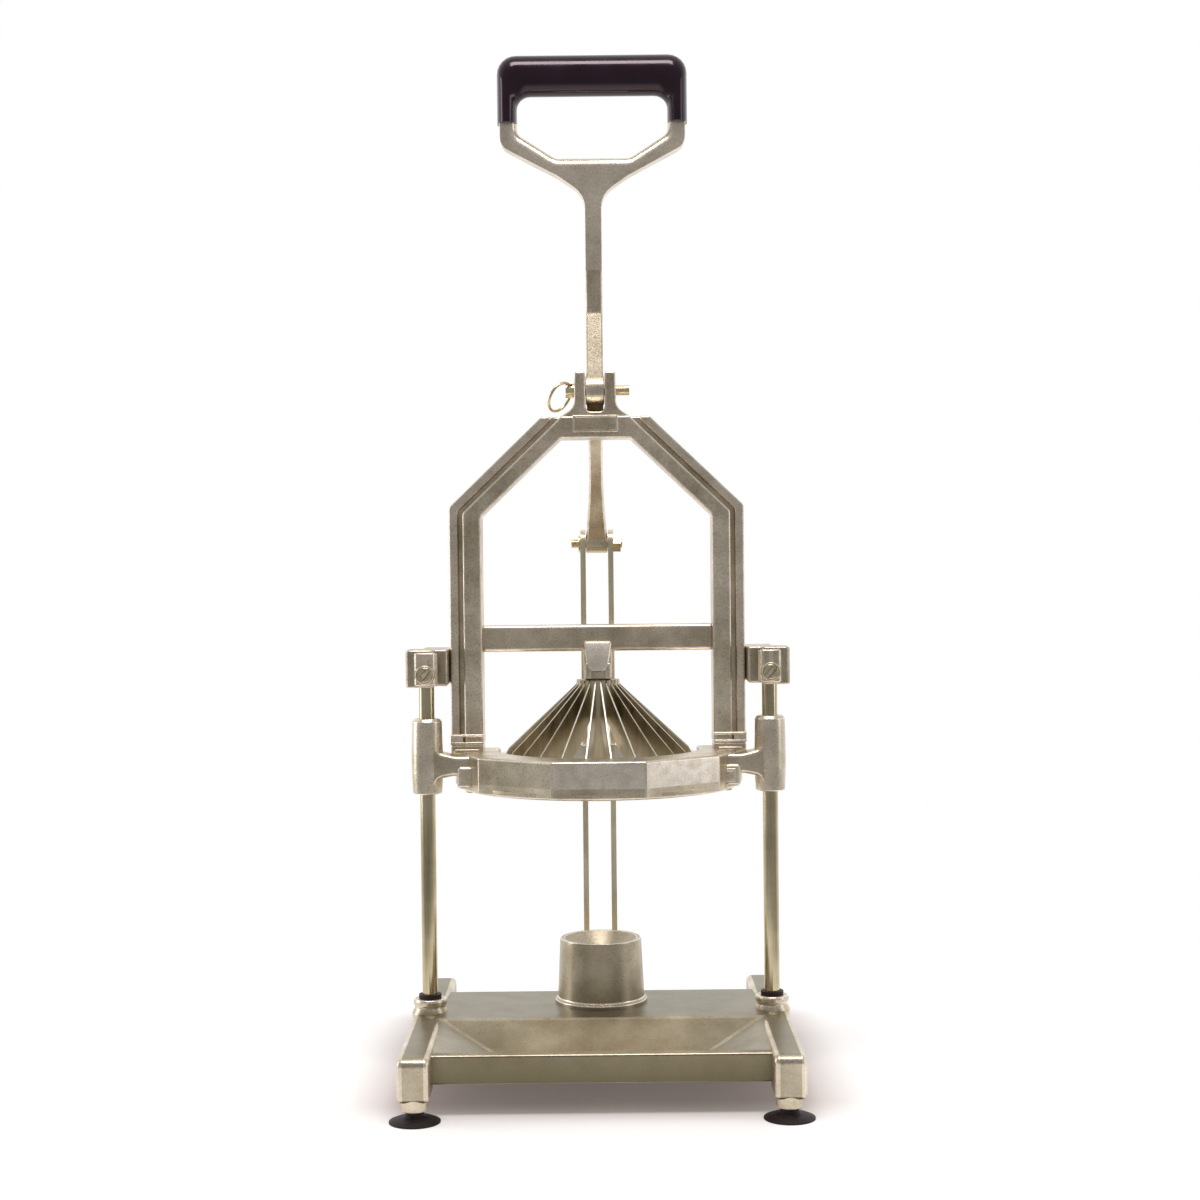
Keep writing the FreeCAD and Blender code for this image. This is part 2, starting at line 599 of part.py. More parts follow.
def make_base_casting():
    body = new_body("base_casting")
    under_deck = d.arm_top - d.deck_wall
    wall_top = d.arm_top - d.tray_lip
    block = [
        (-d.tray_front, d.tray_under), (d.deck_rear, d.tray_under), (d.deck_rear, d.arm_top),
        (-d.deck_front, d.arm_top), (d.tray_wall - d.tray_front, wall_top), (-d.tray_front, wall_top)]
    side_plate(body, block, (-d.arm_inner, d.arm_inner))
    arm = [
        (-d.arm_front, d.leg_under), (d.leg_length - d.arm_front, d.leg_under),
        (d.leg_length - d.arm_front + d.leg_ramp, d.arm_under),
        (d.arm_rear - d.leg_length - d.leg_ramp, d.arm_under),
        (d.arm_rear - d.leg_length, d.leg_under), (d.arm_rear, d.leg_under),
        (d.arm_rear, d.arm_top), (-d.arm_front, d.arm_top)]
    for name, side in SIDES:
        side_plate(body, arm, across(side, d.arm_inner, d.arm_inner + d.arm_width))
    round_edges(body, d.arm_end_round, lambda p, t: upright(t)
                and (p.y < NEAR - VALUES["arm_front"] or p.y > VALUES["arm_rear"] - NEAR))
    for name, side in SIDES:
        x = side * d.rod_spread
        radius = d.boss_dia / 2
        boss = [
            (0, d.arm_under), (radius, d.arm_under), (radius, d.arm_top + d.boss_step / 2),
            (radius - d.boss_groove, d.arm_top + d.boss_step / 2),
            (radius - d.boss_groove, d.arm_top + d.boss_step), (radius, d.arm_top + d.boss_step),
            (radius, d.boss_top), (0, d.boss_top)]
        turned(body, boss, x, 0)
        post(body, x, 0, d.rod_dia, (d.rod_seat, d.boss_top), cut=True)
        for y in (-d.foot_front, d.foot_rear):
            post(body, x, y, d.foot_boss_dia, (d.foot_boss_under, d.leg_under))
            post(body, x, y, d.stud_dia, (d.foot_boss_under, d.stud_top), cut=True)
    hopper_mouth = new_sketch(body, "XY", d.arm_top)
    draw_polygon(hopper_mouth, [
        (-d.arm_inner, -d.deck_front), (d.arm_inner, -d.deck_front),
        (d.arm_inner, d.tray_wall - d.tray_front), (-d.arm_inner, d.tray_wall - d.tray_front)])
    hopper_floor = new_sketch(body, "XY", d.tray_floor)
    draw_polygon(hopper_floor, [
        (-d.tray_floor_half, -d.tray_floor_rear), (d.tray_floor_half, -d.tray_floor_rear),
        (d.tray_floor_half, -d.tray_floor_front), (-d.tray_floor_half, -d.tray_floor_front)])
    hopper = body.newObject("PartDesign::SubtractiveLoft", "hopper")
    hopper.Profile = hopper_mouth
    hopper.Sections = [hopper_floor]
    hopper.Ruled = True
    box(body, (-d.arm_inner, d.arm_inner), (d.deck_wall * 2 - d.deck_front, d.deck_rear - d.deck_wall),
        (d.tray_under, under_deck), cut=True)
    lug_span = (-d.lug_width / 2, d.lug_width / 2)
    slot_top = d.anchor_height + d.anchor_pin_dia / 2 + d.side_gap
    slot_floor = d.anchor_height - d.anchor_pin_dia / 2 - d.anchor_drop
    slot_end = d.anchor_back - d.anchor_pin_dia / 2 - d.side_gap
    lug_end = d.anchor_back + d.anchor_pin_dia
    side_plate(body, [
        (d.deck_rear - d.deck_wall, slot_floor - d.lug_wall), (lug_end, slot_floor - d.lug_wall),
        (lug_end, slot_floor), (slot_end, slot_floor), (slot_end, slot_top), (lug_end, slot_top),
        (lug_end, d.arm_top), (d.deck_rear - d.deck_wall, d.arm_top)], lug_span)
    post(body, 0, axis_y, d.pedestal_bolt_dia + d.bolt_play, (under_deck, d.arm_top), cut=True)
    nodes.append(body)


def make_pedestal():
    body = new_body("pedestal")
    top = d.pedestal_top_dia / 2
    floor = d.pedestal_top - d.cup_depth
    foot = d.arm_top + d.pedestal_flange
    turned(body, [
        (0, d.arm_top), (d.pedestal_foot_dia / 2, d.arm_top), (d.pedestal_foot_dia / 2, foot),
        (d.pedestal_base_dia / 2, foot + d.pedestal_flange / 2), (top, d.pedestal_top),
        (top - d.pedestal_rim, d.pedestal_top), (d.cup_floor_dia / 2, floor),
        (d.core_well_dia / 2, floor), (d.core_well_dia / 2, d.core_well_floor),
        (0, d.core_well_floor)], 0, axis_y)
    post(body, 0, axis_y, d.pedestal_bolt_dia, (d.arm_top, d.core_well_floor), cut=True)
    nodes.append(body)
    bolt = new_body("pedestal_bolt")
    seat = d.arm_top - d.deck_wall
    pad(bolt, "XY", seat - d.pedestal_bolt_head, d.pedestal_bolt_head,
        [hexagon(0, axis_y, d.pedestal_bolt_across)])
    post(bolt, 0, axis_y, d.pedestal_bolt_dia, (seat, d.core_well_floor - d.bolt_short))
    nodes.append(bolt)


def make_rods():
    clamp_screws = []
    for name, side in SIDES:
        x = side * d.rod_spread
        rod = new_body("guide_rod_" + name)
        post(rod, x, 0, d.rod_dia, (d.rod_seat, d.rod_top))
        nodes.append(rod)
        bumper = new_body("rod_bumper_" + name)
        top = d.boss_top + d.bumper_height
        turned(bumper, [
            (rod_radius, d.boss_top), (d.bumper_dia / 2, d.boss_top),
            (d.bumper_dia / 2, top), (rod_radius, top)], x, 0)
        nodes.append(bumper)
        clamp = new_body("rod_clamp_" + name)
        heights = (d.clamp_under, d.clamp_top)
        shoe_near = d.frame_outer + d.shoe_gap
        shoe_front = axis_y + d.flange_back + d.shoe_gap
        shoe_back = shoe_front + d.shoe_wall
        box(clamp, across(side, d.clamp_inner, d.clamp_outer), (-d.clamp_front, d.clamp_back), heights)
        round_edges(clamp, d.clamp_round, lambda p, t: upright(t))
        box(clamp, across(side, shoe_near, d.clamp_outer - d.clamp_arm), (d.clamp_recess, shoe_back), heights)
        box(clamp, across(side, shoe_near - d.shoe_wall, d.clamp_inner), (shoe_front, shoe_back), heights)
        nose = d.clamp_front + d.clamp_nose
        lengthwise(clamp, x, d.clamp_screw_height, d.clamp_nose_dia, (-nose, -rod_radius))
        post(clamp, x, 0, d.rod_dia, heights, cut=True)
        lengthwise(clamp, x, d.clamp_screw_height, d.clamp_screw_dia,
                   (-nose, d.overshoot - rod_radius), cut=True)
        nodes.append(clamp)
        screw = new_body("clamp_screw_" + name)
        lengthwise(screw, x, d.clamp_screw_height, d.clamp_screw_dia, (-nose, -rod_radius))
        slot = d.screw_slot / 2
        box(screw, (x - d.clamp_screw_dia, x + d.clamp_screw_dia), (-nose, -nose + d.screw_slot),
            (d.clamp_screw_height - slot, d.clamp_screw_height + slot), cut=True)
        clamp_screws.append(screw)
    nodes.append(group("clamp_screws", clamp_screws))


def make_feet():
    studs = []
    for end, y in (("front", -d.foot_front), ("rear", d.foot_rear)):
        for name, side in SIDES:
            x = side * d.rod_spread
            foot = new_body("suction_foot_%s_%s" % (end, name))
            neck = d.foot_neck_dia / 2
            cup = d.foot_cup_dia / 2
            turned(foot, [
                (0, d.cup_hollow), (cup - d.cup_lip, 0), (cup, 0), (cup, d.cup_edge),
                (d.cup_dome_dia / 2, d.cup_dome_height), (neck, d.neck_height), (neck, d.foot_boss_under),
                (0, d.foot_boss_under)], x, y)
            post(foot, x, y, d.stud_dia, (d.stud_foot, d.foot_boss_under), cut=True)
            nodes.append(foot)
            stud = new_body("foot_stud_%s_%s" % (end, name))
            post(stud, x, y, d.stud_dia, (d.stud_foot, d.stud_top))
            studs.append(stud)
    nodes.append(group("foot_studs", studs))


def cartridge_screw_points():
    """Two places on the ledge between blades: front right and left."""
    reach = (d.ring_dia + d.ring_bore) / 4
    return [(reach * trig("cos", angle), axis_y + reach * trig("sin", angle))
            for angle in (d.ring_screw_angle, size(180))]


def make_holder():
    body = new_body("blade_holder")
    corner = d.holder_apothem / trig("cos", 18)
    heights = (d.holder_under, d.holder_top)
    right = [
        (corner * trig("cos", 72), axis_y - corner * trig("sin", 72)),
        (corner * trig("cos", 36), axis_y - corner * trig("sin", 36)),
        (corner, axis_y), (corner, axis_y + d.holder_rear)]
    pad(body, "XY", d.holder_under, d.holder_top - d.holder_under, [mirrored(right)])
    for name, side in SIDES:
        x = side * d.rod_spread
        box(body, across(side, d.frame_inner - d.web_root, d.rod_spread),
            (-d.web_depth / 2, d.web_depth / 2), (d.web_under, d.web_top))
        box(body, across(side, d.frame_inner, d.frame_outer),
            (axis_y - d.rib_front, axis_y + d.rib_back), (d.web_under, d.foot_pad_top))
        radius = d.guide_dia / 2
        turned(body, [
            (0, d.guide_under), (radius, d.guide_under), (radius, d.guide_top - d.guide_chamfer),
            (radius - d.guide_chamfer, d.guide_top), (0, d.guide_top)], x, 0)
        post(body, x, 0, d.bush_dia, (d.guide_under, d.guide_top), cut=True)
        post(body, side * d.frame_screw_spread, axis_y - d.frame_screw_ahead, d.frame_screw_dia,
             (d.holder_under, d.foot_pad_top), cut=True)
    post(body, 0, axis_y, d.opening_dia, (d.ledge_top, d.foot_pad_top), cut=True)
    post(body, 0, axis_y, d.ledge_dia, heights, cut=True)
    for x, y in cartridge_screw_points():
        post(body, x, y, d.ring_screw_dia, (d.holder_under, d.ledge_top), cut=True)
    nodes.append(body)
    for name, side in SIDES:
        bush = new_body("guide_bush_" + name)
        bore = rod_radius + d.running_gap
        turned(bush, [
            (bore, d.guide_under), (d.bush_dia / 2, d.guide_under),
            (d.bush_dia / 2, d.guide_top), (bore, d.guide_top)], side * d.rod_spread, 0)
        nodes.append(bush)


def house(offset, bottom):
    """Right half of the frame's outline, moved inwards by `offset`."""
    half_turn = (90 - d.roof_angle) / 2
    shoulder = d.frame_outer - (d.frame_shoulder - d.frame_corner) / trig("tan", d.roof_angle)
    return [
        (d.frame_outer - offset, bottom),
        (d.frame_outer - offset, d.frame_corner - offset * trig("tan", half_turn)),
        (shoulder - offset / trig("sin", d.roof_angle), d.frame_shoulder)]


def arch(offset, bottom):
    """The frame's outline: up the outside, over the roof and back down the inside."""
    outer = house(offset, bottom)
    inner_top = d.frame_inner - (d.frame_inner_top - d.frame_inner_corner) / trig("tan", d.roof_angle)
    inner = [(d.frame_inner, bottom), (d.frame_inner, d.frame_inner_corner), (inner_top, d.frame_inner_top)]
    left = [(-x, z) for x, z in outer]
    return left + outer[::-1] + inner + [(-x, z) for x, z in inner[::-1]]


def make_frame():
    body = new_body("upper_frame")
    foot_top = d.foot_pad_top + d.frame_foot_height
    front_plate(body, arch(size(0), d.foot_pad_top), (axis_y - d.flange_front, axis_y + d.flange_back))
    front_plate(body, arch(d.flange_width, d.foot_pad_top), (axis_y - d.rib_front, axis_y + d.rib_back))
    for name, side in SIDES:
        lip = house(size(0), d.foot_pad_top) + house(d.lip_width, d.foot_pad_top)[::-1]
        front_plate(body, [(side * x, z) for x, z in lip], (axis_y - d.lip_front, axis_y))
        box(body, across(side, d.frame_inner, d.frame_outer),
            (axis_y - d.rib_front, axis_y + d.rib_back), (d.foot_pad_top, foot_top))
    bar_half = d.frame_inner + d.overshoot
    box(body, (-bar_half, bar_half), (axis_y - d.bar_front, axis_y + d.bar_back), (d.bar_under, d.bar_top))
    round_edges(body, d.bar_round, lambda p, t: sideways(t) and abs(p.x) < NEAR
                and VALUES["bar_under"] - NEAR < p.z < VALUES["bar_top"] + NEAR)
    post(body, 0, axis_y, d.hanger_dia, (d.hub_top, d.bar_under + d.overshoot))
    tongue = [
        (d.tongue_tip_width / 2, d.tongue_under),
        (d.tongue_bend_width / 2, d.tongue_under + d.tongue_bend_rise),
        (d.tongue_side_width / 2, d.tongue_under + d.tongue_side_rise),
        (d.tongue_width / 2, d.bar_under + d.tongue_overlap)]
    front_plate(body, mirrored(tongue), (axis_y - d.tongue_front, axis_y - d.overshoot))
    box(body, (-d.hub_window / 2, d.hub_window / 2), (axis_y - d.tongue_front, axis_y - d.overshoot),
        (d.hub_top, d.tongue_under), cut=True)
    post(body, 0, axis_y, d.hub_stud_dia, (d.hub_top, d.hub_stud_top), cut=True)
    ears = [
        (d.ear_outer + d.ear_sweep, d.frame_shoulder - d.overshoot),
        (d.ear_outer + d.ear_bend, d.frame_shoulder + d.ear_bend_rise),
        (d.ear_outer, d.frame_shoulder + d.ear_sweep_rise), (d.ear_outer, d.ear_top)]
    half_depth = d.ear_depth / 2
    front_plate(body, mirrored(ears), (axis_y - half_depth, axis_y + half_depth))
    round_edges(body, d.ear_round, lambda p, t: sideways(t) and abs(p.z - VALUES["ear_top"]) < EXACT)
    box(body, (-d.ear_inner, d.ear_inner), (axis_y - d.ear_depth, axis_y + d.ear_depth),
        (d.ear_slot_floor, d.ear_top + d.overshoot), cut=True)
    box(body, (-d.ear_inner, d.ear_inner), (axis_y, axis_y + d.ear_depth),
        (d.ear_rear_floor, d.ear_slot_floor + d.overshoot), cut=True)
    crosswise(body, axis_y, d.pivot_height, d.pivot_pin_dia, (-d.ear_outer, d.ear_outer), cut=True)
    screws = []
    for name, side in SIDES:
        x = side * d.frame_screw_spread
        y = axis_y - d.frame_screw_ahead
        tip = foot_top + d.frame_screw_reach
        post(body, x, y, d.frame_screw_dia, (d.foot_pad_top, tip), cut=True)
        box(body, (x - d.frame_notch / 2, x + d.frame_notch / 2),
            (axis_y - d.rib_front, y), (d.foot_pad_top + d.notch_floor, foot_top - d.notch_lintel), cut=True)
        screw = new_body("frame_screw_" + name)
        post(screw, x, y, d.frame_screw_dia, (d.holder_under, tip))
        post(screw, x, y, d.frame_screw_head_dia, (d.holder_under - d.frame_screw_head, d.holder_under))
        screws.append(screw)
    nodes.append(body)
    nodes.append(group("frame_screws", screws))


def on_blade_axis(body, angle=0):
    """Blades, hub and ring are drawn about their own upright axis, then set on the blade axis."""
    turn = FreeCAD.Rotation(Vector(0, 0, 1), size(angle).value)
    body.Placement = FreeCAD.Placement(Vector(0, VALUES["axis_back"], 0), turn)
    bind(body, "Placement.Base.y", axis_y)
    if isinstance(angle, Size):
        bind(body, "Placement.Rotation.Angle", angle)


def slot_outline(inner, outer):
    """One blade slot at half a pitch from +X."""
    angle = 180 / d.blade_count
    half = d.blade_thickness / 2
    points = []
    for radius, shift in ((inner, -half), (outer, -half), (outer, half), (inner, half)):
        points.append((radius * trig("cos", angle) - shift * trig("sin", angle),
                       radius * trig("sin", angle) + shift * trig("cos", angle)))
    return points


def cut_slots(body, inner, outer, z):
    """Blade slots all round."""
    slot = pad(body, "XY", z[0], size(z[1]) - z[0], [slot_outline(inner, outer)], cut=True)
    doc.recompute()
    pattern = body.newObject("PartDesign::PolarPattern", body.Name + "_slots")
    pattern.Originals = [slot]
    pattern.Axis = (slot.Profile[0], ["N_Axis"])
    pattern.Angle = 360
    pattern.Occurrences = int(VALUES["blade_count"])
    body.Tip = pattern


def make_blades():
    hub_radius = d.hub_dia / 2
    ring = new_body("blade_ring")
    turned(ring, [
        (d.ring_bore / 2, d.ledge_top), (d.ring_dia / 2, d.ledge_top),
        (d.ring_dia / 2, d.ring_top), (d.ring_bore / 2, d.ring_top)], 0, 0)
    tip = d.ring_bore / 2 + d.blade_bite
    cut_slots(ring, d.ring_bore / 2 - d.overshoot, tip, (d.ledge_top, d.ring_top))
    for x, y in cartridge_screw_points():
        post(ring, x, y - axis_y, d.ring_screw_dia, (d.ledge_top, d.ledge_top + d.ring_screw_reach), cut=True)
    on_blade_axis(ring)
    nodes.append(ring)
    hub = new_body("blade_hub")
    turned(hub, [
        (d.core_dia / 2, d.hub_under), (hub_radius, d.hub_under), (hub_radius, d.hub_top),
        (0, d.hub_top), (0, d.hub_top - d.hub_cap), (d.core_dia / 2, d.hub_top - d.hub_cap)], 0, 0)
    post(hub, 0, 0, d.hub_stud_dia, (d.hub_top - d.hub_cap, d.hub_top), cut=True)
    cut_slots(hub, hub_radius - d.blade_seat_depth, hub_radius + d.overshoot, (d.hub_under, d.hub_top))
    on_blade_axis(hub)
    nodes.append(hub)
    stud = new_body("hub_stud")
    post(stud, 0, 0, d.hub_stud_dia, (d.hub_top - d.hub_cap, d.hub_stud_top))
    on_blade_axis(stud)
    nodes.append(stud)
    core = new_body("core_tube")
    bore = d.core_dia / 2 - d.core_wall
    turned(core, [
        (bore, d.core_under), (d.core_dia / 2, d.core_under),
        (d.core_dia / 2, d.hub_top - d.hub_cap), (bore, d.hub_top - d.hub_cap)], 0, 0)
    on_blade_axis(core)
    nodes.append(core)
    inner = hub_radius - d.blade_seat_depth
    shoulder = d.hub_top - d.hub_shoulder
    strip = [
        (inner, shoulder), (inner, d.hub_under),
        (hub_radius + d.blade_knee, d.hub_under - d.blade_knee_drop),
        (hub_radius + d.blade_waist, d.hub_under - d.blade_waist_drop),
        (d.ring_bore / 2 - d.blade_toe, d.blade_outer_under + d.blade_toe_rise),
        (d.ring_bore / 2 - d.blade_level, d.blade_outer_under), (tip, d.blade_outer_under),
        (tip, d.blade_outer_top), (hub_radius, shoulder)]
    count = int(VALUES["blade_count"])
    for number in range(count):
        blade = new_body("blade_%02d" % (number + 1))
        front_plate(blade, strip, (-d.blade_thickness / 2, d.blade_thickness / 2))
        on_blade_axis(blade, (number + 0.5) * 360 / d.blade_count)
        nodes.append(blade)
    screws = []
    for number, (x, y) in enumerate(cartridge_screw_points(), start=1):
        screw = new_body("ring_screw_%d" % number)
        post(screw, x, y, d.ring_screw_dia, (d.holder_under, d.ledge_top + d.ring_screw_reach))
        post(screw, x, y, d.ring_screw_head_dia, (d.holder_under - d.ring_screw_head, d.holder_under))
        screws.append(screw)
    nodes.append(group("ring_screws", screws))


def make_lever():
    body = new_body("lever")
    half = d.lever_width / 2
    depth = d.lever_depth / 2
    top_y = axis_y + d.dogleg_back
    knee = d.pivot_height + d.dogleg_height
    shaft = [
        (axis_y - depth, d.pivot_height), (top_y - depth, knee), (top_y - depth, d.loop_flare),
        (top_y + depth, d.loop_flare), (top_y + depth, knee), (axis_y + depth, d.pivot_height)]
    side_plate(body, shaft, (-half, half))
    crank_y = axis_y + d.crank_back
    crank_z = d.pivot_height - d.crank_drop
    arm_half = d.crank_depth / 2
    end_y = arm_half * ARM_END[0]
    end_z = arm_half * ARM_END[1]
    upper = [(axis_y + d.crank_back * run, d.pivot_height - d.crank_drop * drop) for run, drop in ARM_UPPER]
    lower = [(axis_y + d.crank_back * run, d.pivot_height - d.crank_drop * drop) for run, drop in ARM_LOWER]
    top_corners = [(axis_y - arm_half, d.pivot_height), (axis_y + arm_half, d.pivot_height + arm_half)]
    end_corners = [(crank_y + end_y, crank_z + end_z), (crank_y - end_y, crank_z - end_z)]
    side_plate(body, top_corners + upper + end_corners + lower, (-half, half))
    crosswise(body, crank_y, crank_z, d.crank_barrel_dia, (-d.lug_width / 2, d.lug_width / 2))
    barrel_half = d.ear_inner - d.side_gap
    crosswise(body, axis_y, d.pivot_height, d.lever_barrel_dia, (-barrel_half, barrel_half))
    crosswise(body, axis_y, d.pivot_height, d.pivot_pin_dia + d.running_gap * 2,
              (-barrel_half, barrel_half), cut=True)
    crosswise(body, crank_y, crank_z, d.link_pin_dia + d.running_gap * 2,
              (-d.lug_width / 2, d.lug_width / 2), cut=True)
    loop = [
        (half, d.loop_root), (d.loop_neck_half, d.loop_flare), (d.loop_outer, d.loop_corner),
        (d.loop_outer, d.grip_start), (d.opening_half, d.grip_start), (d.opening_half, d.opening_corner),
        (d.opening_flat_half, d.opening_under)]
    loop_half = d.loop_depth / 2
    front_plate(body, mirrored(loop), (top_y - loop_half, top_y + loop_half))
    middle_y = VALUES["axis_back"] + VALUES["dogleg_back"]
    round_edges(body, d.loop_round, lambda p, t: abs(t.y) < EXACT
                and abs(abs(p.y - middle_y) - VALUES["loop_depth"] / 2) < EXACT
                and VALUES["opening_under"] - EXACT < p.z < VALUES["grip_start"] - EXACT
                and abs(p.x) < VALUES["opening_half"] + EXACT)
    front_plate(body, core_outline(), (top_y - loop_half, top_y + loop_half))
    nodes.append(body)


def core_outline():
    """The bar inside the grip."""
    inner = d.opening_half + d.grip_wall
    outer = d.grip_outer - d.grip_wall
    return mirrored([
        (inner, d.opening_top + d.grip_wall), (inner, d.grip_start), (outer, d.grip_start),
        (outer, d.grip_top - d.grip_wall)])


def make_grip():
    body = new_body("grip")
    top_y = axis_y + d.dogleg_back
    half = d.grip_depth / 2
    outline = mirrored([
        (d.opening_half, d.opening_top), (d.opening_half, d.grip_start),
        (d.grip_outer, d.grip_start), (d.grip_outer, d.grip_top)])
    front_plate(body, outline, (top_y - half, top_y + half))
    round_edges(body, d.grip_corner, lambda p, t: abs(t.y) > 1 - EXACT and p.z > VALUES["grip_top"] - NEAR)
    round_edges(body, d.grip_round, lambda p, t: abs(t.y) < EXACT and p.z > VALUES["grip_start"] + NEAR
                and (abs(p.x) > VALUES["grip_outer"] - VALUES["grip_corner"] / 2
                     or p.z > VALUES["grip_top"] - VALUES["grip_corner"] / 2))
    front_plate(body, core_outline(), (top_y - d.loop_depth / 2, top_y + d.loop_depth / 2), cut=True)
    nodes.append(body)


def strap_outline(top, bottom, width):
    """A straight strap between two points of Y and Z."""
    run = top[0] - bottom[0]
    rise = top[1] - bottom[1]
    length = root(run * run + rise * rise)
    aside = rise / length * width / 2
    up = run / length * width / 2
    return [
        (top[0] - aside, top[1] + up), (bottom[0] - aside, bottom[1] + up),
        (bottom[0] + aside, bottom[1] - up), (top[0] + aside, top[1] - up)]


def make_links():
    top = (axis_y + d.crank_back, d.pivot_height - d.crank_drop)
    bottom = (d.anchor_back, d.anchor_height)
    inner = d.lug_width / 2 + d.side_gap
    outer = inner + d.link_thickness
    for name, side in SIDES:
        body = new_body("link_" + name)
        span = across(side, inner, outer)
        side_plate(body, strap_outline(top, bottom, d.link_width), span)
        crosswise(body, top[0], top[1], d.link_width, span)
        crosswise(body, bottom[0], bottom[1], d.link_width, span)
        crosswise(body, top[0], top[1], d.link_pin_dia, span, cut=True)
        crosswise(body, bottom[0], bottom[1], d.anchor_pin_dia, span, cut=True)
        nodes.append(body)
    pin = new_body("link_top_pin")
    reach = outer + d.link_pin_out
    crosswise(pin, top[0], top[1], d.link_pin_dia, (-reach, reach))
    nodes.append(pin)
    nut = new_body("link_top_nut")
    pad(nut, "YZ", outer, d.nut_height, [hexagon(top[0], top[1], d.nut_across)])
    crosswise(nut, top[0], top[1], d.link_pin_dia, (outer, outer + d.nut_height), cut=True)
    nodes.append(nut)
    anchor = new_body("link_anchor_pin")
    anchor_reach = outer + d.clip_thickness * 2
    crosswise(anchor, bottom[0], bottom[1], d.anchor_pin_dia, (-anchor_reach, anchor_reach))
    nodes.append(anchor)
    clips = []
    for label, centre, bore, side in (
            ("clip_top", top, d.link_pin_dia, -1),
            ("clip_anchor_left", bottom, d.anchor_pin_dia, -1),
            ("clip_anchor_right", bottom, d.anchor_pin_dia, 1)):
        clip = new_body(label)
        span = across(side, outer, outer + d.clip_thickness)
        crosswise(clip, centre[0], centre[1], bore + d.clip_rim * 2, span)
        crosswise(clip, centre[0], centre[1], bore, span, cut=True)
        clips.append(clip)
    nodes.append(group("spring_clips", clips))


def make_pivot_pin():
    along = FreeCAD.Rotation(Vector(0, 1, 0), 90)
    shank = cylinder("pivot_pin_shank", d.pivot_pin_dia, -d.ear_outer, d.ear_outer * 2 + d.pivot_pin_out, along)
    head_end = d.ear_outer + d.pivot_head_length
    head = cylinder("pivot_pin_head", d.pivot_head_dia, -head_end, d.pivot_head_length, along)
    turn = math.radians(VALUES["pull_ring_turn"])
    lean = math.radians(VALUES["pull_ring_lean"])
    hole_way = Vector(0, math.cos(turn), -math.sin(turn))
    aside = Vector(0, -math.sin(turn), -math.cos(turn))
    outward = Vector(-math.cos(lean), 0, 0) + aside * math.sin(lean)
    hole_x = -d.ear_outer - d.pivot_head_length / 2
    hole = doc.addObject("Part::Cylinder", "pull_ring_hole")
    bind(hole, "Radius", d.pull_ring_wire / 2 + d.pull_ring_play)
    bind(hole, "Height", d.pivot_head_dia * 2)
    hole.Placement = FreeCAD.Placement(Vector(0, 0, 0), FreeCAD.Rotation(Vector(0, 0, 1), hole_way))
    bind(hole, "Placement.Base.x", hole_x)
    bind(hole, "Placement.Base.y", axis_y - d.pivot_head_dia * trig("cos", d.pull_ring_turn))
    bind(hole, "Placement.Base.z", d.pivot_height + d.pivot_head_dia * trig("sin", d.pull_ring_turn))
    solid = doc.addObject("Part::MultiFuse", "pivot_pin_solid")
    solid.Shapes = [shank, head]
    pin = doc.addObject("Part::Cut", "pivot_pin")
    pin.Base = solid
    pin.Tool = hole
    nodes.append(pin)
    ring = doc.addObject("Part::Torus", "pull_ring")
    ring_radius = d.pull_ring_dia / 2 - d.pull_ring_wire / 2
    bind(ring, "Radius1", ring_radius)
    bind(ring, "Radius2", d.pull_ring_wire / 2)
    ring.Placement = FreeCAD.Placement(
        Vector(0, 0, 0), FreeCAD.Rotation(hole_way, outward, hole_way.cross(outward), "ZXY"))
    reach = ring_radius - d.pull_ring_bow
    sin_lean = trig("sin", d.pull_ring_lean)
    bind(ring, "Placement.Base.x", hole_x - reach * trig("cos", d.pull_ring_lean))
    bind(ring, "Placement.Base.y", axis_y - reach * sin_lean * trig("sin", d.pull_ring_turn))
    bind(ring, "Placement.Base.z", d.pivot_height - reach * sin_lean * trig("cos", d.pull_ring_turn))
    nodes.append(ring)


def cylinder(label, diameter, start, length, turn):
    """A plain cylinder on the lever's pivot axis, turned to lie along X."""
    solid = doc.addObject("Part::Cylinder", label)
    bind(solid, "Radius", diameter / 2)
    bind(solid, "Height", length)
    solid.Placement = FreeCAD.Placement(Vector(0, 0, 0), turn)
    bind(solid, "Placement.Base.x", start)
    bind(solid, "Placement.Base.y", axis_y)
    bind(solid, "Placement.Base.z", d.pivot_height)
    return solid


make_base_casting()
make_pedestal()
make_rods()
make_feet()
make_holder()
make_frame()
make_blades()
make_lever()
make_grip()
make_links()
make_pivot_pin()
doc.recompute()

for obj in doc.Objects:
    if "Invalid" in obj.State or "Error" in obj.State:
        raise RuntimeError("%s is in state %s" % (obj.Label, obj.State))
for node in nodes:
    if node.Shape.isNull() or not node.Shape.isValid():
        raise RuntimeError("%s has no valid shape" % node.Label)
for node in nodes:
    node.Shape.exportStep("parts/%s.step" % node.Label)
print("wrote %d nodes" % len(nodes))
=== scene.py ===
import json
import math

import bmesh
import bpy
from mathutils import Matrix, Vector

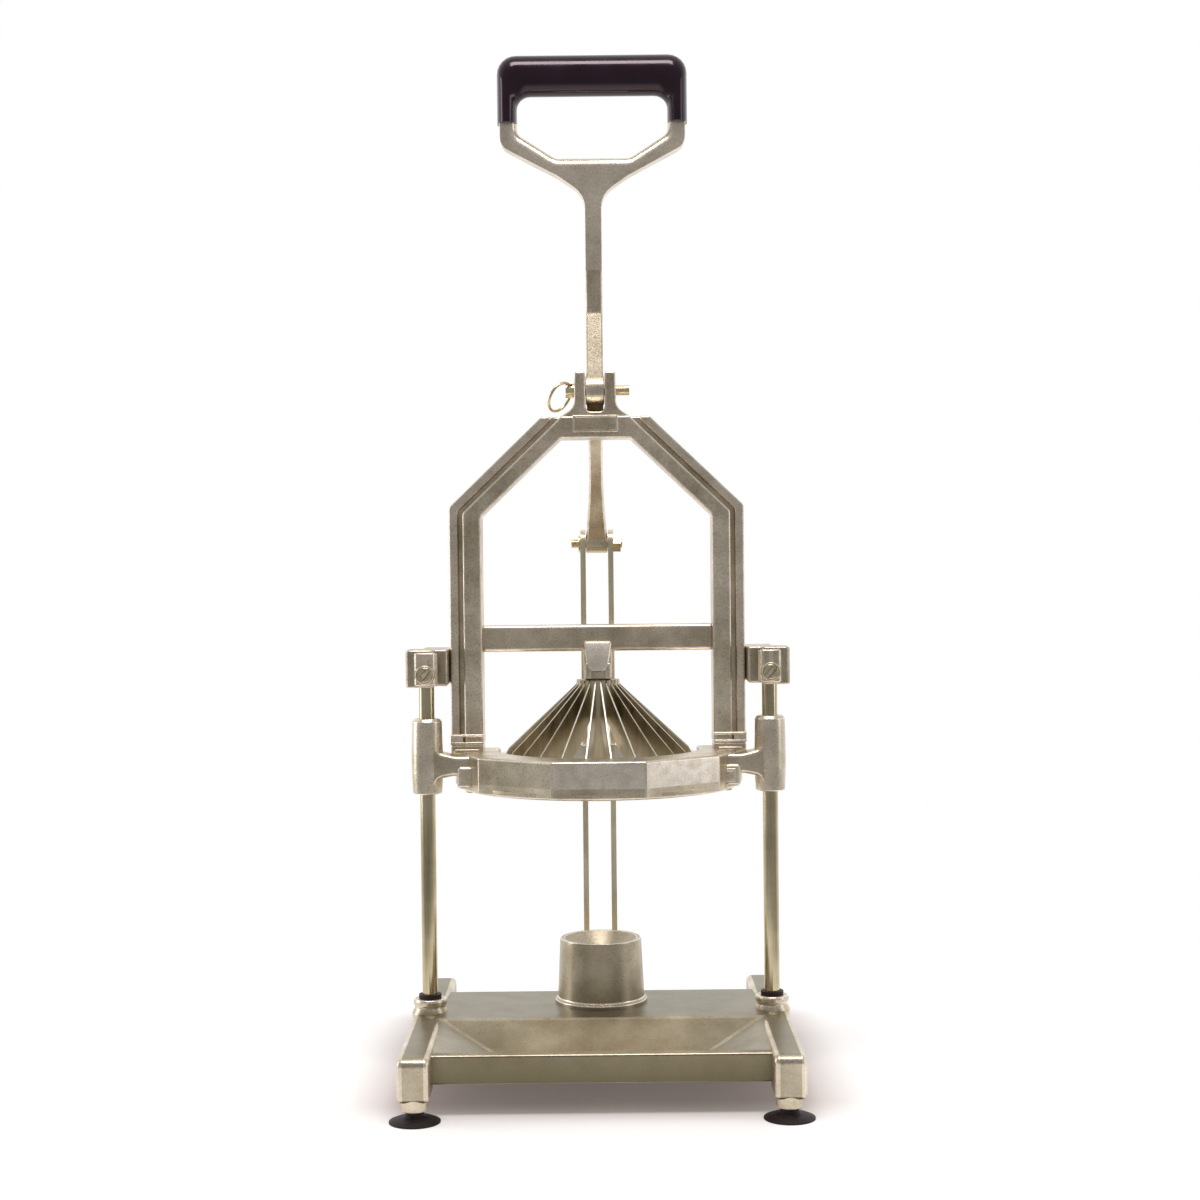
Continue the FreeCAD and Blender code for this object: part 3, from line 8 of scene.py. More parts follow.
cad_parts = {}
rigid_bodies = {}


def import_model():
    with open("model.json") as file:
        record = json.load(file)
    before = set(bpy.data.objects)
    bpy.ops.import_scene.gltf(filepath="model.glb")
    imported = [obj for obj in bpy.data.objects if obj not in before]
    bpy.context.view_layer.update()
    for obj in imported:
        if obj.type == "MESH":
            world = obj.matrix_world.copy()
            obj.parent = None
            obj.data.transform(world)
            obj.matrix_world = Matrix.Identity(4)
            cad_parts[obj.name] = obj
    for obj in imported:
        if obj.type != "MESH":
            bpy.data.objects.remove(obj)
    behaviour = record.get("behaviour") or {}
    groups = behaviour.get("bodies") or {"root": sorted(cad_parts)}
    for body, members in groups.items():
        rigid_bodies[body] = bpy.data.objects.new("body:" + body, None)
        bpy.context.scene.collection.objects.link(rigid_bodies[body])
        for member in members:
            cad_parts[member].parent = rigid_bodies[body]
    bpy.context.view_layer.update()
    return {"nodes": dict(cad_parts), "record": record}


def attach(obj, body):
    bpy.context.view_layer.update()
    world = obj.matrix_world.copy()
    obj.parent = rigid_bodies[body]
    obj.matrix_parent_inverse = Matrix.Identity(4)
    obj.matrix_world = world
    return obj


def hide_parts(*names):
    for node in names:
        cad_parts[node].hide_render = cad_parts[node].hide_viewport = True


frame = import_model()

MM = 0.001
NODES = frame["nodes"]
BODIES = frame["record"]["behaviour"]["bodies"]
SLOTS = {part["node"]: part["material_slot"] for part in frame["record"]["subparts"]}


def body_of_node(node):
    """The body that a CAD node belongs to."""
    return next(body for body, members in BODIES.items() if node in members)


# Materials

def new_material(name):
    """An empty node material with its Principled shader."""
    material = bpy.data.materials.new(name)
    material.use_nodes = True
    shader = material.node_tree.nodes["Principled BSDF"]
    return material, material.node_tree, shader


def node(tree, kind, **inputs):
    """Adds a node and sets its inputs by name, or by `prop_` for its settings."""
    made = tree.nodes.new(kind)
    for key, value in inputs.items():
        if key.startswith("prop_"):
            setattr(made, key[5:], value)
        else:
            made.inputs[key.replace("_", " ")].default_value = value
    return made


def noise(tree, place, scale, detail=3.0, roughness=0.5, distortion=0.0):
    """Noise over the object's own coordinates, `scale` in cycles per metre."""
    made = node(tree, "ShaderNodeTexNoise", Scale=scale, Detail=detail,
                Roughness=roughness, Distortion=distortion)
    tree.links.new(place, made.inputs["Vector"])
    return made.outputs["Fac"]


def ramp(tree, value, stops):
    """A colour ramp; `stops` are (position, colour or grey)."""
    made = node(tree, "ShaderNodeValToRGB")
    elements = made.color_ramp.elements
    while len(elements) < len(stops):
        elements.new(0.5)
    for element, (position, colour) in zip(elements, stops):
        element.position = position
        grey = isinstance(colour, float)
        element.color = (colour, colour, colour, 1) if grey else (*colour, 1)
    tree.links.new(value, made.inputs["Fac"])
    return made.outputs["Color"]


def mix(tree, factor, first, second, kind="MIX"):
    """Mixes two colour outputs; `factor` is an output or a number."""
    made = node(tree, "ShaderNodeMix", prop_data_type="RGBA", prop_blend_type=kind)
    if isinstance(factor, float):
        made.inputs[0].default_value = factor
    else:
        tree.links.new(factor, made.inputs[0])
    tree.links.new(first, made.inputs[6])
    tree.links.new(second, made.inputs[7])
    return made.outputs[2]


def bump(tree, shader, height, strength, distance):
    """Adds a bump to the shader's normal."""
    made = node(tree, "ShaderNodeBump", Strength=strength, Distance=distance)
    tree.links.new(height, made.inputs["Height"])
    tree.links.new(made.outputs["Normal"], shader.inputs["Normal"])
    return made


def place_of(tree):
    """The object's own coordinates, in metres."""
    return node(tree, "ShaderNodeTexCoord").outputs["Object"]


def edge_of(tree):
    """The `edge` tone of a face, as a number: painted highlight and wear above 0, painted shade below 0."""
    return node(tree, "ShaderNodeAttribute", prop_attribute_name="edge").outputs["Fac"]


def plain(tree, colour):
    """One colour as an output."""
    made = node(tree, "ShaderNodeRGB")
    made.outputs[0].default_value = (*colour, 1)
    return made.outputs[0]


def remap(tree, value, **inputs):
    """Maps a value from one range to another."""
    made = node(tree, "ShaderNodeMapRange", **inputs)
    tree.links.new(value, made.inputs["Value"])
    return made.outputs[0]


def times(tree, first, second, clamp=True):
    """Multiplies two outputs; the second may be a number."""
    made = node(tree, "ShaderNodeMath", prop_operation="MULTIPLY", prop_use_clamp=clamp)
    tree.links.new(first, made.inputs[0])
    if isinstance(second, float):
        made.inputs[1].default_value = second
    else:
        tree.links.new(second, made.inputs[1])
    return made.outputs[0]


def vector_math(tree, kind, first, second=None):
    """A vector operation on an output and, where it needs one, a constant."""
    made = node(tree, "ShaderNodeVectorMath", prop_operation=kind)
    tree.links.new(first, made.inputs[0])
    if second is not None:
        made.inputs[1].default_value = second
    return made.outputs["Value" if kind == "LENGTH" else "Vector"]


def parts_of(tree, vector):
    """The three numbers of a vector, by their axis."""
    made = node(tree, "ShaderNodeSeparateXYZ")
    tree.links.new(vector, made.inputs[0])
    return made.outputs


WARM_DARK = (0.52, 0.44, 0.31)
WARM_PALE = (0.92, 0.81, 0.645)
# Painted highlight colour (partly edge wear), painted olive shade, and the painted glint on ground steel
SHEEN_AND_WEAR_COLOUR = (1.0, 0.90, 0.79)
PAINTED_SHADE_OLIVE = (0.15, 0.13, 0.072)
GROUND_EDGE_AND_GLINT = (0.80, 0.77, 0.69)
WHITE = (1.0, 1.0, 1.0)
AS_IT_IS = [(0.0, 0.0), (1.0, 1.0)]


def cast_aluminium(name, dark, pale, roughness):
    """Bead-blasted cast metal with blotches and a fine sand grain. A face's `edge` paints
    it bright above 0, a painted highlight that is partly edge wear, and paints olive
    shade below 0, deeper towards the table."""
    material, tree, shader = new_material(name)
    place = place_of(tree)
    blotch = noise(tree, place, scale=38.0, detail=4.0, roughness=0.6)
    grain = noise(tree, place, scale=950.0, detail=3.0, roughness=0.75)
    coarse = noise(tree, place, scale=420.0, detail=3.0, roughness=0.6)
    patchy = noise(tree, place, scale=120.0, detail=5.0, roughness=0.65)
    colour = ramp(tree, blotch, [(0.32, dark), (0.7, pale)])
    speck = ramp(tree, grain, [(0.34, 0.80), (0.58, 1.04)])
    colour = mix(tree, 1.0, colour, speck, "MULTIPLY")
    edge = edge_of(tree)
    wear = remap(tree, patchy, From_Min=0.38, From_Max=0.58, To_Min=0.5, To_Max=1.15)
    sheen_and_wear = times(tree, edge, wear)
    # Painted highlight on roundings and bright faces, partly edge wear
    colour = mix(tree, sheen_and_wear, colour, plain(tree, SHEEN_AND_WEAR_COLOUR))
    # Painted olive shade where the edge tone is below 0, deeper towards the table
    shade_near_table = remap(tree, parts_of(tree, place)["Z"],
                       From_Min=0.018, From_Max=0.036, To_Min=1.0, To_Max=0.8)
    painted_shade = times(tree, times(tree, edge, -1.0), shade_near_table)
    colour = mix(tree, painted_shade, colour, plain(tree, PAINTED_SHADE_OLIVE))
    tree.links.new(colour, shader.inputs["Base Color"])
    shader.inputs["Metallic"].default_value = 0.92
    rough = ramp(tree, grain, [(0.3, roughness - 0.08), (0.7, roughness + 0.08)])
    polished = ramp(tree, grain, [(0.3, 0.24), (0.7, 0.34)])
    tree.links.new(mix(tree, sheen_and_wear, rough, polished), shader.inputs["Roughness"])
    height = mix(tree, 0.45, ramp(tree, grain, AS_IT_IS), ramp(tree, coarse, AS_IT_IS))
    relief = bump(tree, shader, height, strength=0.35, distance=0.0003)
    smooth = remap(tree, sheen_and_wear, To_Min=0.35, To_Max=0.05)
    tree.links.new(smooth, relief.inputs["Strength"])
    return material


def steel(name, dark, pale, roughness, stretch, scale=260.0, strength=0.06):
    """Drawn or ground steel with fine streaks along one axis; painted bright where a face's `edge` says:
    ground edges with a painted highlight, and a painted reflection on the cartridge ring.
    """
    material, tree, shader = new_material(name)
    mapping = node(tree, "ShaderNodeMapping")
    mapping.inputs["Scale"].default_value = stretch
    tree.links.new(place_of(tree), mapping.inputs["Vector"])
    streak = noise(tree, mapping.outputs["Vector"], scale, detail=4.0, roughness=0.6)
    cloud = noise(tree, place_of(tree), scale=45.0, detail=3.0, roughness=0.5)
    tones = [(0.3, dark), (0.7, pale)]
    colour = mix(tree, 0.5, ramp(tree, streak, tones), ramp(tree, cloud, tones))
    # Painted highlight and reflection where the face's edge tone says
    colour = mix(tree, edge_of(tree), colour, plain(tree, GROUND_EDGE_AND_GLINT))
    tree.links.new(colour, shader.inputs["Base Color"])
    shader.inputs["Metallic"].default_value = 1.0
    rough = ramp(tree, streak, [(0.3, max(0.03, roughness - 0.06)), (0.7, roughness + 0.06)])
    tree.links.new(rough, shader.inputs["Roughness"])
    bump(tree, shader, ramp(tree, streak, AS_IT_IS), strength, distance=0.0002)
    return material


def soft_black(name, dark, pale, roughness, coat, grain_scale, strength):
    """Rubber or dipped vinyl: faint clouding, with or without a gloss coat."""
    material, tree, shader = new_material(name)
    place = place_of(tree)
    cloud = noise(tree, place, scale=60.0, detail=4.0, roughness=0.55)
    tree.links.new(ramp(tree, cloud, [(0.3, dark), (0.72, pale)]), shader.inputs["Base Color"])
    fine = noise(tree, place, grain_scale, detail=3.0, roughness=0.6)
    rough = ramp(tree, fine, [(0.3, max(0.05, roughness - 0.06)), (0.7, roughness + 0.06)])
    tree.links.new(rough, shader.inputs["Roughness"])
    shader.inputs["Specular IOR Level"].default_value = 0.3
    shader.inputs["Specular Tint"].default_value = (1.0, 0.72, 0.86, 1)
    shader.inputs["Coat Weight"].default_value = coat
    shader.inputs["Coat Roughness"].default_value = 0.06
    bump(tree, shader, ramp(tree, fine, AS_IT_IS), strength, distance=0.0003)
    return material


ALONG_Z = (1, 1, 0.04)
ALONG_LINKS = (1, 1, 0.05)
ALONG_BLADES = (1, 1, 0.15)
NO_GRAIN = (1, 1, 1)

MATERIALS = {
    "cast_aluminium": cast_aluminium("cast_aluminium", WARM_DARK, WARM_PALE, 0.33),
    "rod_steel": steel("rod_steel", (0.40, 0.335, 0.19), (0.80, 0.70, 0.48), 0.14, ALONG_Z),
    "blade_steel": steel("blade_steel", (0.48, 0.42, 0.29), (0.80, 0.71, 0.54), 0.32, ALONG_BLADES),
    "link_steel": steel("link_steel", (0.66, 0.56, 0.36), (1.0, 0.90, 0.68), 0.28, ALONG_LINKS),
    "fastener_steel": steel("fastener_steel", (0.58, 0.47, 0.27), (0.96, 0.84, 0.58), 0.24, NO_GRAIN),
    "brass": steel("brass", (0.42, 0.31, 0.14), (0.72, 0.58, 0.32), 0.28, NO_GRAIN),
    "rubber": soft_black("rubber", (0.010, 0.008, 0.007), (0.030, 0.024, 0.020),
                         roughness=0.55, coat=0.0, grain_scale=900.0, strength=0.25),
    "grip": soft_black("grip", (0.009, 0.002, 0.006), (0.016, 0.004, 0.012),
                       roughness=0.20, coat=0.45, grain_scale=60.0, strength=0.01),
}


def paint(obj, slot):
    """Gives an object one material."""
    obj.data.materials.clear()
    obj.data.materials.append(MATERIALS[slot])


def paint_frame():
    """Every CAD node gets the material of its slot."""
    for name, obj in NODES.items():
        for holder in [obj] + list(obj.children_recursive):
            if holder.type != "MESH":
                continue
            for place in holder.material_slots:
                place.material = MATERIALS[SLOTS[name]]
            if not holder.material_slots:
                holder.data.materials.append(MATERIALS[SLOTS[name]])


# Forms

ARC_STEP = 14          # degrees of a rounded corner per piece
EDGE_SHARE = 0.49      # the most that a corner takes of its shorter side
BROAD = 0.9            # mm; a broader rounding gets the full painted highlight and wear tone
TINY = 1e-6

# Tones, which are values of a face's `edge`: a painted highlight, partly edge wear, above 0; painted shade
# below 0
BRIGHT = 1.0
SHEEN_AND_WEAR_TONE = 0.5
HALF_SHEEN_AND_WEAR_TONE = 0.3
FAINT = 0.12
CREASE_SHADE = -0.4


def corner_arc(before, corner, after, radius):
    """Points that round one corner of an outline; all but the last start a piece of the arc."""
    here = Vector(corner)
    to_before = Vector(before) - here
    to_after = Vector(after) - here
    angle = to_before.angle(to_after)
    run = radius / math.tan(angle / 2)
    limit = EDGE_SHARE * min(to_before.length, to_after.length)
    if run > limit:
        run = limit
        radius = run * math.tan(angle / 2)
    to_before.normalize()
    to_after.normalize()
    middle = here + (to_before + to_after).normalized() * (radius / math.sin(angle / 2))
    start = here + to_before * run - middle
    end = here + to_after * run - middle
    sweep = start.angle_signed(end)
    steps = max(2, round(abs(math.degrees(sweep)) / ARC_STEP))
    points = []
    for i in range(steps + 1):
        turn = -sweep * i / steps
        x = start.x * math.cos(turn) - start.y * math.sin(turn)
        y = start.x * math.sin(turn) + start.y * math.cos(turn)
        points.append((middle.x + x, middle.y + y, i < steps))
    return points


def rounded(outline, radius=0.0):
    """An outline with rounded corners; a corner may give its own radius as a third number."""
    result = []
    count = len(outline)
    for i, corner in enumerate(outline):
        own = corner[2] if len(corner) > 2 else radius
        if own <= 0:
            result.append((corner[0], corner[1], False))
        else:
            result += corner_arc(outline[i - 1][:2], corner[:2], outline[(i + 1) % count][:2], own)
    return result


def flipped(points):
    """The mirror image of an outline, in reverse order."""
    return [(-point[0], *point[1:]) for point in reversed(points)]


def mirrored(points):
    """Adds the left half to the right half of an outline."""
    return list(points) + flipped(points)


TO_SPACE = {
    "XZ": lambda u, v, w: Vector((u, w, v)) * MM,
    "YZ": lambda u, v, w: Vector((w, u, v)) * MM,
    "XY": lambda u, v, w: Vector((u, v, w)) * MM,
}


class Form:
    """A mesh built from several pieces. The `edge` of a face is its tone: a painted highlight,
    partly edge wear, above 0 and painted shade below 0; `glow` is the tone of the faces
    that aren't rounded."""

    def __init__(self):
        self.shape = bmesh.new()
        self.edge = self.shape.faces.layers.float.new("edge")

    def round_off(self, edges, size, steps, clamp=False):
        """Rounds edges and gives the new faces."""
        return bmesh.ops.bevel(self.shape, geom=edges, offset=size * MM, segments=steps, profile=0.5,
                               affect="EDGES", clamp_overlap=clamp)["faces"]

    def prism(self, outline, depth, plane="XZ", rim=0.0, radius=0.0, steps=3, skip=None,
              glow=0.0, ends=(0, 1)):
        """Extrudes an outline between two depths. `rim` rounds the edges at the depths that
        `ends` counts, but where `skip` says so; it is a number or a function of the edge's
        middle."""
        place = TO_SPACE[plane]
        points = rounded(outline, radius)
        pairs = [(i, (i + 1) % len(points)) for i in range(len(points))]
        shape = self.shape
        near = [shape.verts.new(place(u, v, depth[0])) for u, v, arc in points]
        far = [shape.verts.new(place(u, v, depth[1])) for u, v, arc in points]
        faces = [shape.faces.new(near), shape.faces.new(far)]
        for i, j in pairs:
            side = shape.faces.new((near[i], near[j], far[j], far[i]))
            side[self.edge] = SHEEN_AND_WEAR_TONE if points[i][2] and glow >= 0 else glow
            faces.append(side)
        faces[0][self.edge] = glow
        faces[1][self.edge] = glow
        bmesh.ops.recalc_face_normals(shape, faces=faces)
        if not rim:
            return
        groups = {}
        for ring in [(near, far)[end] for end in ends]:
            for i, j in pairs:
                u = (points[i][0] + points[j][0]) / 2
                v = (points[i][1] + points[j][1]) / 2
                size = rim(u, v) if callable(rim) else rim
                if size > 0 and not (skip and skip(u, v)):
                    groups.setdefault(size, []).append(shape.edges.get((ring[i], ring[j])))
        for size, edges in sorted(groups.items(), reverse=True):
            edges = [edge for edge in edges if edge and edge.is_valid]
            for face in self.round_off(edges, size, steps):
                face[self.edge] = max(glow, SHEEN_AND_WEAR_TONE if size > BROAD and glow >= 0 else FAINT)

    def block(self, x, y, z, rim=1.0, steps=3, glow=0.0):
        """A box with all its edges rounded."""
        made = bmesh.ops.create_cube(self.shape, size=1.0)
        low = Vector((min(x), min(y), min(z)))
        high = Vector((max(x), max(y), max(z)))
        for vert in made["verts"]:
            vert.co = Vector([(a + b) / 2 + c * (b - a) for a, b, c in zip(low, high, vert.co)]) * MM
        edges = list({edge for vert in made["verts"] for edge in vert.link_edges})
        for face in {face for vert in made["verts"] for face in vert.link_faces}:
            face[self.edge] = glow
        tone = FAINT if glow < 0 else SHEEN_AND_WEAR_TONE if rim > BROAD else HALF_SHEEN_AND_WEAR_TONE
        for face in self.round_off(edges, rim, steps):
            face[self.edge] = max(glow, tone)

    def lathe(self, profile, centre, axis="Z", steps=64, radius=0.0, glow=0.0):
        """Turns an open profile of (radius, height) about an axis through `centre`."""
        rows = []
        ends = [profile[0]] + list(profile) + [profile[-1]]
        for i in range(1, len(ends) - 1):
            own = ends[i][2] if len(ends[i]) > 2 else radius
            if own > 0 and 1 < i < len(ends) - 2:
                rows += corner_arc(ends[i - 1][:2], ends[i][:2], ends[i + 1][:2], own)
            else:
                rows.append((ends[i][0], ends[i][1], False))
        base = Vector(centre) * MM
        turn = {"Z": lambda a, b, h: Vector((a, b, h)), "X": lambda a, b, h: Vector((h, a, b)),
                "Y": lambda a, b, h: Vector((a, h, b))}[axis]
        angles = [2 * math.pi * k / steps for k in range(steps)]
        rings = []
        for r, h, arc in rows:
            if r <= TINY:
                places = [turn(0, 0, h * MM)]
            else:
                places = [turn(r * MM * math.cos(a), r * MM * math.sin(a), h * MM) for a in angles]
            rings.append([self.shape.verts.new(base + place) for place in places])
        faces = []
        for row, (one, two) in enumerate(zip(rings, rings[1:])):
            for k in range(steps):
                j = (k + 1) % steps
                corners = [one[k % len(one)], one[j % len(one)], two[j % len(two)], two[k % len(two)]]
                corners = list(dict.fromkeys(corners))
                if len(corners) < 3:
                    continue
                face = self.shape.faces.new(corners)
                face[self.edge] = BRIGHT if rows[row][2] else glow
                faces.append(face)
        bmesh.ops.recalc_face_normals(self.shape, faces=faces)

    def loft(self, stations, glow=0.0):
        """Joins rounded rectangles. A station is its middle, half width along X, the direction
        of its depth, half depth and corner radius."""
        rings = []
        for middle, half, way, deep, corner in stations:
            way = Vector(way).normalized()
            outline = rounded([(half, deep), (-half, deep), (-half, -deep), (half, -deep)], corner)
            rings.append([(self.shape.verts.new((Vector(middle) + Vector((u, 0, 0)) + way * v) * MM), arc)
                          for u, v, arc in outline])
        faces = []
        for one, two in zip(rings, rings[1:]):
            count = len(one)
            for k in range(count):
                j = (k + 1) % count
                face = self.shape.faces.new((one[k][0], one[j][0], two[j][0], two[k][0]))
                face[self.edge] = BRIGHT if one[k][1] else glow
                faces.append(face)
        faces.append(self.shape.faces.new([vert for vert, arc in rings[0]]))
        faces.append(self.shape.faces.new([vert for vert, arc in rings[-1]]))
        bmesh.ops.recalc_face_normals(self.shape, faces=faces)

    def sweep(self, sections, middle, deep, power=1.05, steps=48):
        """A soft-edged bar in the XZ plane. A section is its inner and its outer point."""
        turns = [2 * math.pi * k / steps for k in range(steps)]
        rings = []
        for inner, outer in sections:
            one = Vector((inner[0], middle, inner[1]))
            two = Vector((outer[0], middle, outer[1]))
            ring = []
            for turn in turns:
                u = math.copysign(abs(math.cos(turn)) ** power, math.cos(turn))
                v = math.copysign(abs(math.sin(turn)) ** power, math.sin(turn))
                point = (one + two) / 2 + (two - one) / 2 * u + Vector((0, deep * v, 0))
                ring.append(self.shape.verts.new(point * MM))
            rings.append(ring)
        faces = [self.shape.faces.new(rings[0]), self.shape.faces.new(rings[-1])]
        for one, two in zip(rings, rings[1:]):
            for k in range(steps):
                j = (k + 1) % steps
                faces.append(self.shape.faces.new((one[k], one[j], two[j], two[k])))
        bmesh.ops.recalc_face_normals(self.shape, faces=faces)

    def solid(self, points, faces, soft=(), rim=1.5, steps=3):
        """A polyhedron. The edges named in `soft`, as pairs of points, are rounded and shaded."""
        verts = [self.shape.verts.new(Vector(point) * MM) for point in points]
        made = [self.shape.faces.new([verts[i] for i in face]) for face in faces]
        bmesh.ops.recalc_face_normals(self.shape, faces=made)
        edges = [self.shape.edges.get((verts[i], verts[j])) for i, j in soft]
        for face in self.round_off(edges, rim, steps, clamp=True):
            # Painted shade in the rounded creases
            face[self.edge] = CREASE_SHADE

    def tint(self, pick):
        """Gives faces the tone that `pick` names for them, or leaves them as they are."""
        self.shape.normal_update()
        for face in self.shape.faces:
            tone = pick(face)
            if tone is not None:
                face[self.edge] = tone

    def emit(self, name, slot, *nodes, body=None, angle=33):
        """Makes the object, in place of CAD nodes."""
        mesh = bpy.data.meshes.new(name)
        self.shape.to_mesh(mesh)
        self.shape.free()
        obj = bpy.data.objects.new(name, mesh)
        bpy.context.scene.collection.objects.link(obj)
        for face in mesh.polygons:
            face.use_smooth = True
        mesh.set_sharp_from_angle(angle=math.radians(angle))
        weigh = obj.modifiers.new("even", "WEIGHTED_NORMAL")
        weigh.keep_sharp = True
        paint(obj, slot)
        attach(obj, body or body_of_node(nodes[0]))
        if nodes:
            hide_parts(*nodes)
        return obj


# Shared sizes, in millimetres

ROD_X = 106.0
ROD_RADIUS = 4.7625
AXIS_Y = 25.0
PIVOT_Z = 422.6
LEVER_Y = 45.0
FEET_Y = {"front": -112, "rear": 90}
SIDES = {-1: "left", 1: "right"}
WIDE_FACE = 3e-4       # square metres; wider faces of a casting have tones of their own


def make_lever():
    """The loop with its shaft, the bend, the hub, the rear arm and its barrel."""
    form = Form()
    half = 5.3
    half_deep = 6.5
    foot = 470.0
    top = 594.0
    inner_x = 47.8
    # A painted highlight on the loop, shaft and hub; painted shade on the bend and lower shaft
    upper_painted_light = 0.35
    lower_painted_shade = -0.3
    loop = mirrored([
        (half, foot), (half, 548, 16), (22, 559.5, 12), (58.8, 579, 9), (58.8, top),
        (inner_x, top), (inner_x, 587, 8), (23.5, 571.5, 7)])

    def is_end(u, v):
        """The shaft's foot and the two ends that the grip covers."""
        return v > top - 0.1 or v < foot + 0.1

    def rim(u, v):
        """A wide fillet inside the loop, a small one elsewhere."""
        inside = abs(u) < 48.5 and v > 570 and not is_end(u, v)
        return 5.8 if inside else 0.6
    form.prism(loop, (LEVER_Y - half_deep, LEVER_Y + half_deep), rim=rim, steps=5, glow=upper_painted_light,
               skip=is_end)
    bend = [(AXIS_Y - 7.5, PIVOT_Z), (LEVER_Y - 7.5, 473.5, 8), (LEVER_Y - 7.0, 500), (LEVER_Y + 7.0, 500),
            (LEVER_Y + 7.5, 472, 8), (AXIS_Y + 7.5, PIVOT_Z)]
    form.prism(bend, (-half + 0.05, half - 0.05), "YZ", rim=1.3, glow=lower_painted_shade)
    hub = [(0, -5.8), (9, -5.8, 0.8), (9, 5.8, 0.8), (0, 5.8)]
    form.lathe(hub, (0, AXIS_Y, PIVOT_Z), "X", glow=upper_painted_light)
    # The rear arm's middle as y and z, its half width and half depth
    path = [(25, 422.6, 5.3, 6.4), (41, 411, 5.2, 6.6), (61, 398.5, 4.7, 6.8), (80, 385, 4.5, 6.6),
            (94, 370, 4.6, 6.2), (104, 354, 5.2, 5.8), (111, 341, 6.3, 5.2), (116.4, 330, 7.1, 4.6)]
    stations = []
    for i, (y, z, wide, deep) in enumerate(path):
        before = Vector(path[max(0, i - 1)][:2])
        after = Vector(path[min(len(path) - 1, i + 1)][:2])
        along = after - before
        stations.append(((0, y, z), wide, (0, along.y, -along.x), deep, 1.4))
    form.loft(stations)
    barrel = [(3.1, -7.25), (6.3, -7.25, 0.7), (6.3, 7.25, 0.7), (3.1, 7.25)]
    form.lathe(barrel, (0, 117.2, 327), "X")
    form.emit("lever_casting", "cast_aluminium", "lever")


def make_grip():
    """A thick bent tube, flatter at its legs."""
    form = Form()
    half_deep = 11.0
    end_z = 593.5
    inner_x = -47.8
    outer_x = -60.4
    inner_turn = (-39.3, 602.5, 8.5)
    outer_turn = (-48.4, 625, 12)
    steps = 6
    left = [((inner_x, end_z), (outer_x, end_z)), ((inner_x, 599), (outer_x, 612))]
    for i in range(steps + 1):
        angle = math.radians(180 - 90 * i / steps)
        left.append([(x + radius * math.cos(angle), z + radius * math.sin(angle))
                     for x, z, radius in (inner_turn, outer_turn)])
    right = [((-one[0], one[1]), (-two[0], two[1])) for one, two in left[::-1]]
    form.sweep(left + right, LEVER_Y, half_deep)
    form.emit("grip_cover", "grip", "grip", angle=60)


FRAME_OUT = 92.3
FRAME_IN = 71.9
FRAME_BOTTOM = 203.0
OUTER_SHOULDER = 350.0
OUTER_TOP = 406.0
INNER_SHOULDER = 344.0
INNER_TOP = 392.0
SLOPE = math.radians(43.8)
POST_X = 79.0
POST_HALF = 5.4

# Blocks at the foot of each upright: x, y, z, rim and tone, a painted highlight above 0
FOOT_BLOCKS = (
    ((71.75, 92.45), (18.5, 35.15), (201.6, 208.0), 0.8, 0.0),
    ((71.8, POST_X - POST_HALF), (10.95, 20), (201.75, 208.1), 0.7, 0.8),
    ((POST_X + POST_HALF, 92.4), (10.95, 20), (201.75, 208.1), 0.7, 0.8),
    ((71.7, 92.5), (10.8, 20.2), (201.65, 203.4), 0.5, 0.9),
    ((71.65, 92.55), (10.6, 20.4), (206.6, 208.2), 0.6, 1.0),
)

# The tongue under the crossbar: y, z, half width, half depth and corner radius
TONGUE = (
    (17.2, 246.4, 2.8, 5.0, 1.4), (17.0, 247.2, 4.4, 6.2, 1.6), (17.0, 249.2, 5.8, 6.5, 1.7),
    (17.4, 252.5, 6.9, 6.4, 1.7), (18.6, 258, 7.9, 6.2, 1.7), (20.4, 263.5, 8.7, 6.0, 1.7),
    (21.4, 265.2, 8.6, 6.0, 1.6), (23, 265.9, 8.0, 6.0, 1.4),
)

CROSSBAR = ((-73, 73), (21, 33), (259, 275.7))
TONGUE_SEAT = ((-8.8, 8.8), (16, 34), (241.2, 262))
SEAT_LUGS = (((-8.0, -4.0), (12.0, 17), (242, 252)), ((4.0, 8.0), (12.0, 17), (242, 252)))
BADGE = ((-14.2, 14.2), (10.4, 12.4), (395.8, 406.4))
BADGE_FIELD = ((-13.0, 13.0), (10.15, 11.2), (397.0, 405.2))
LIP_DEPTH = (16, 24)
FORK_DEPTH = (15, 34.85)


def house(offset):
    """Right half of the frame's outline, moved inwards by `offset`."""
    shoulder = FRAME_OUT - (OUTER_TOP - OUTER_SHOULDER) / math.tan(SLOPE)
    half_turn = (math.pi / 2 - SLOPE) / 2
    return [(FRAME_OUT - offset, FRAME_BOTTOM),
            (FRAME_OUT - offset, OUTER_SHOULDER - offset * math.tan(half_turn), 3),
            (shoulder - offset / math.sin(SLOPE), OUTER_TOP, 3)]


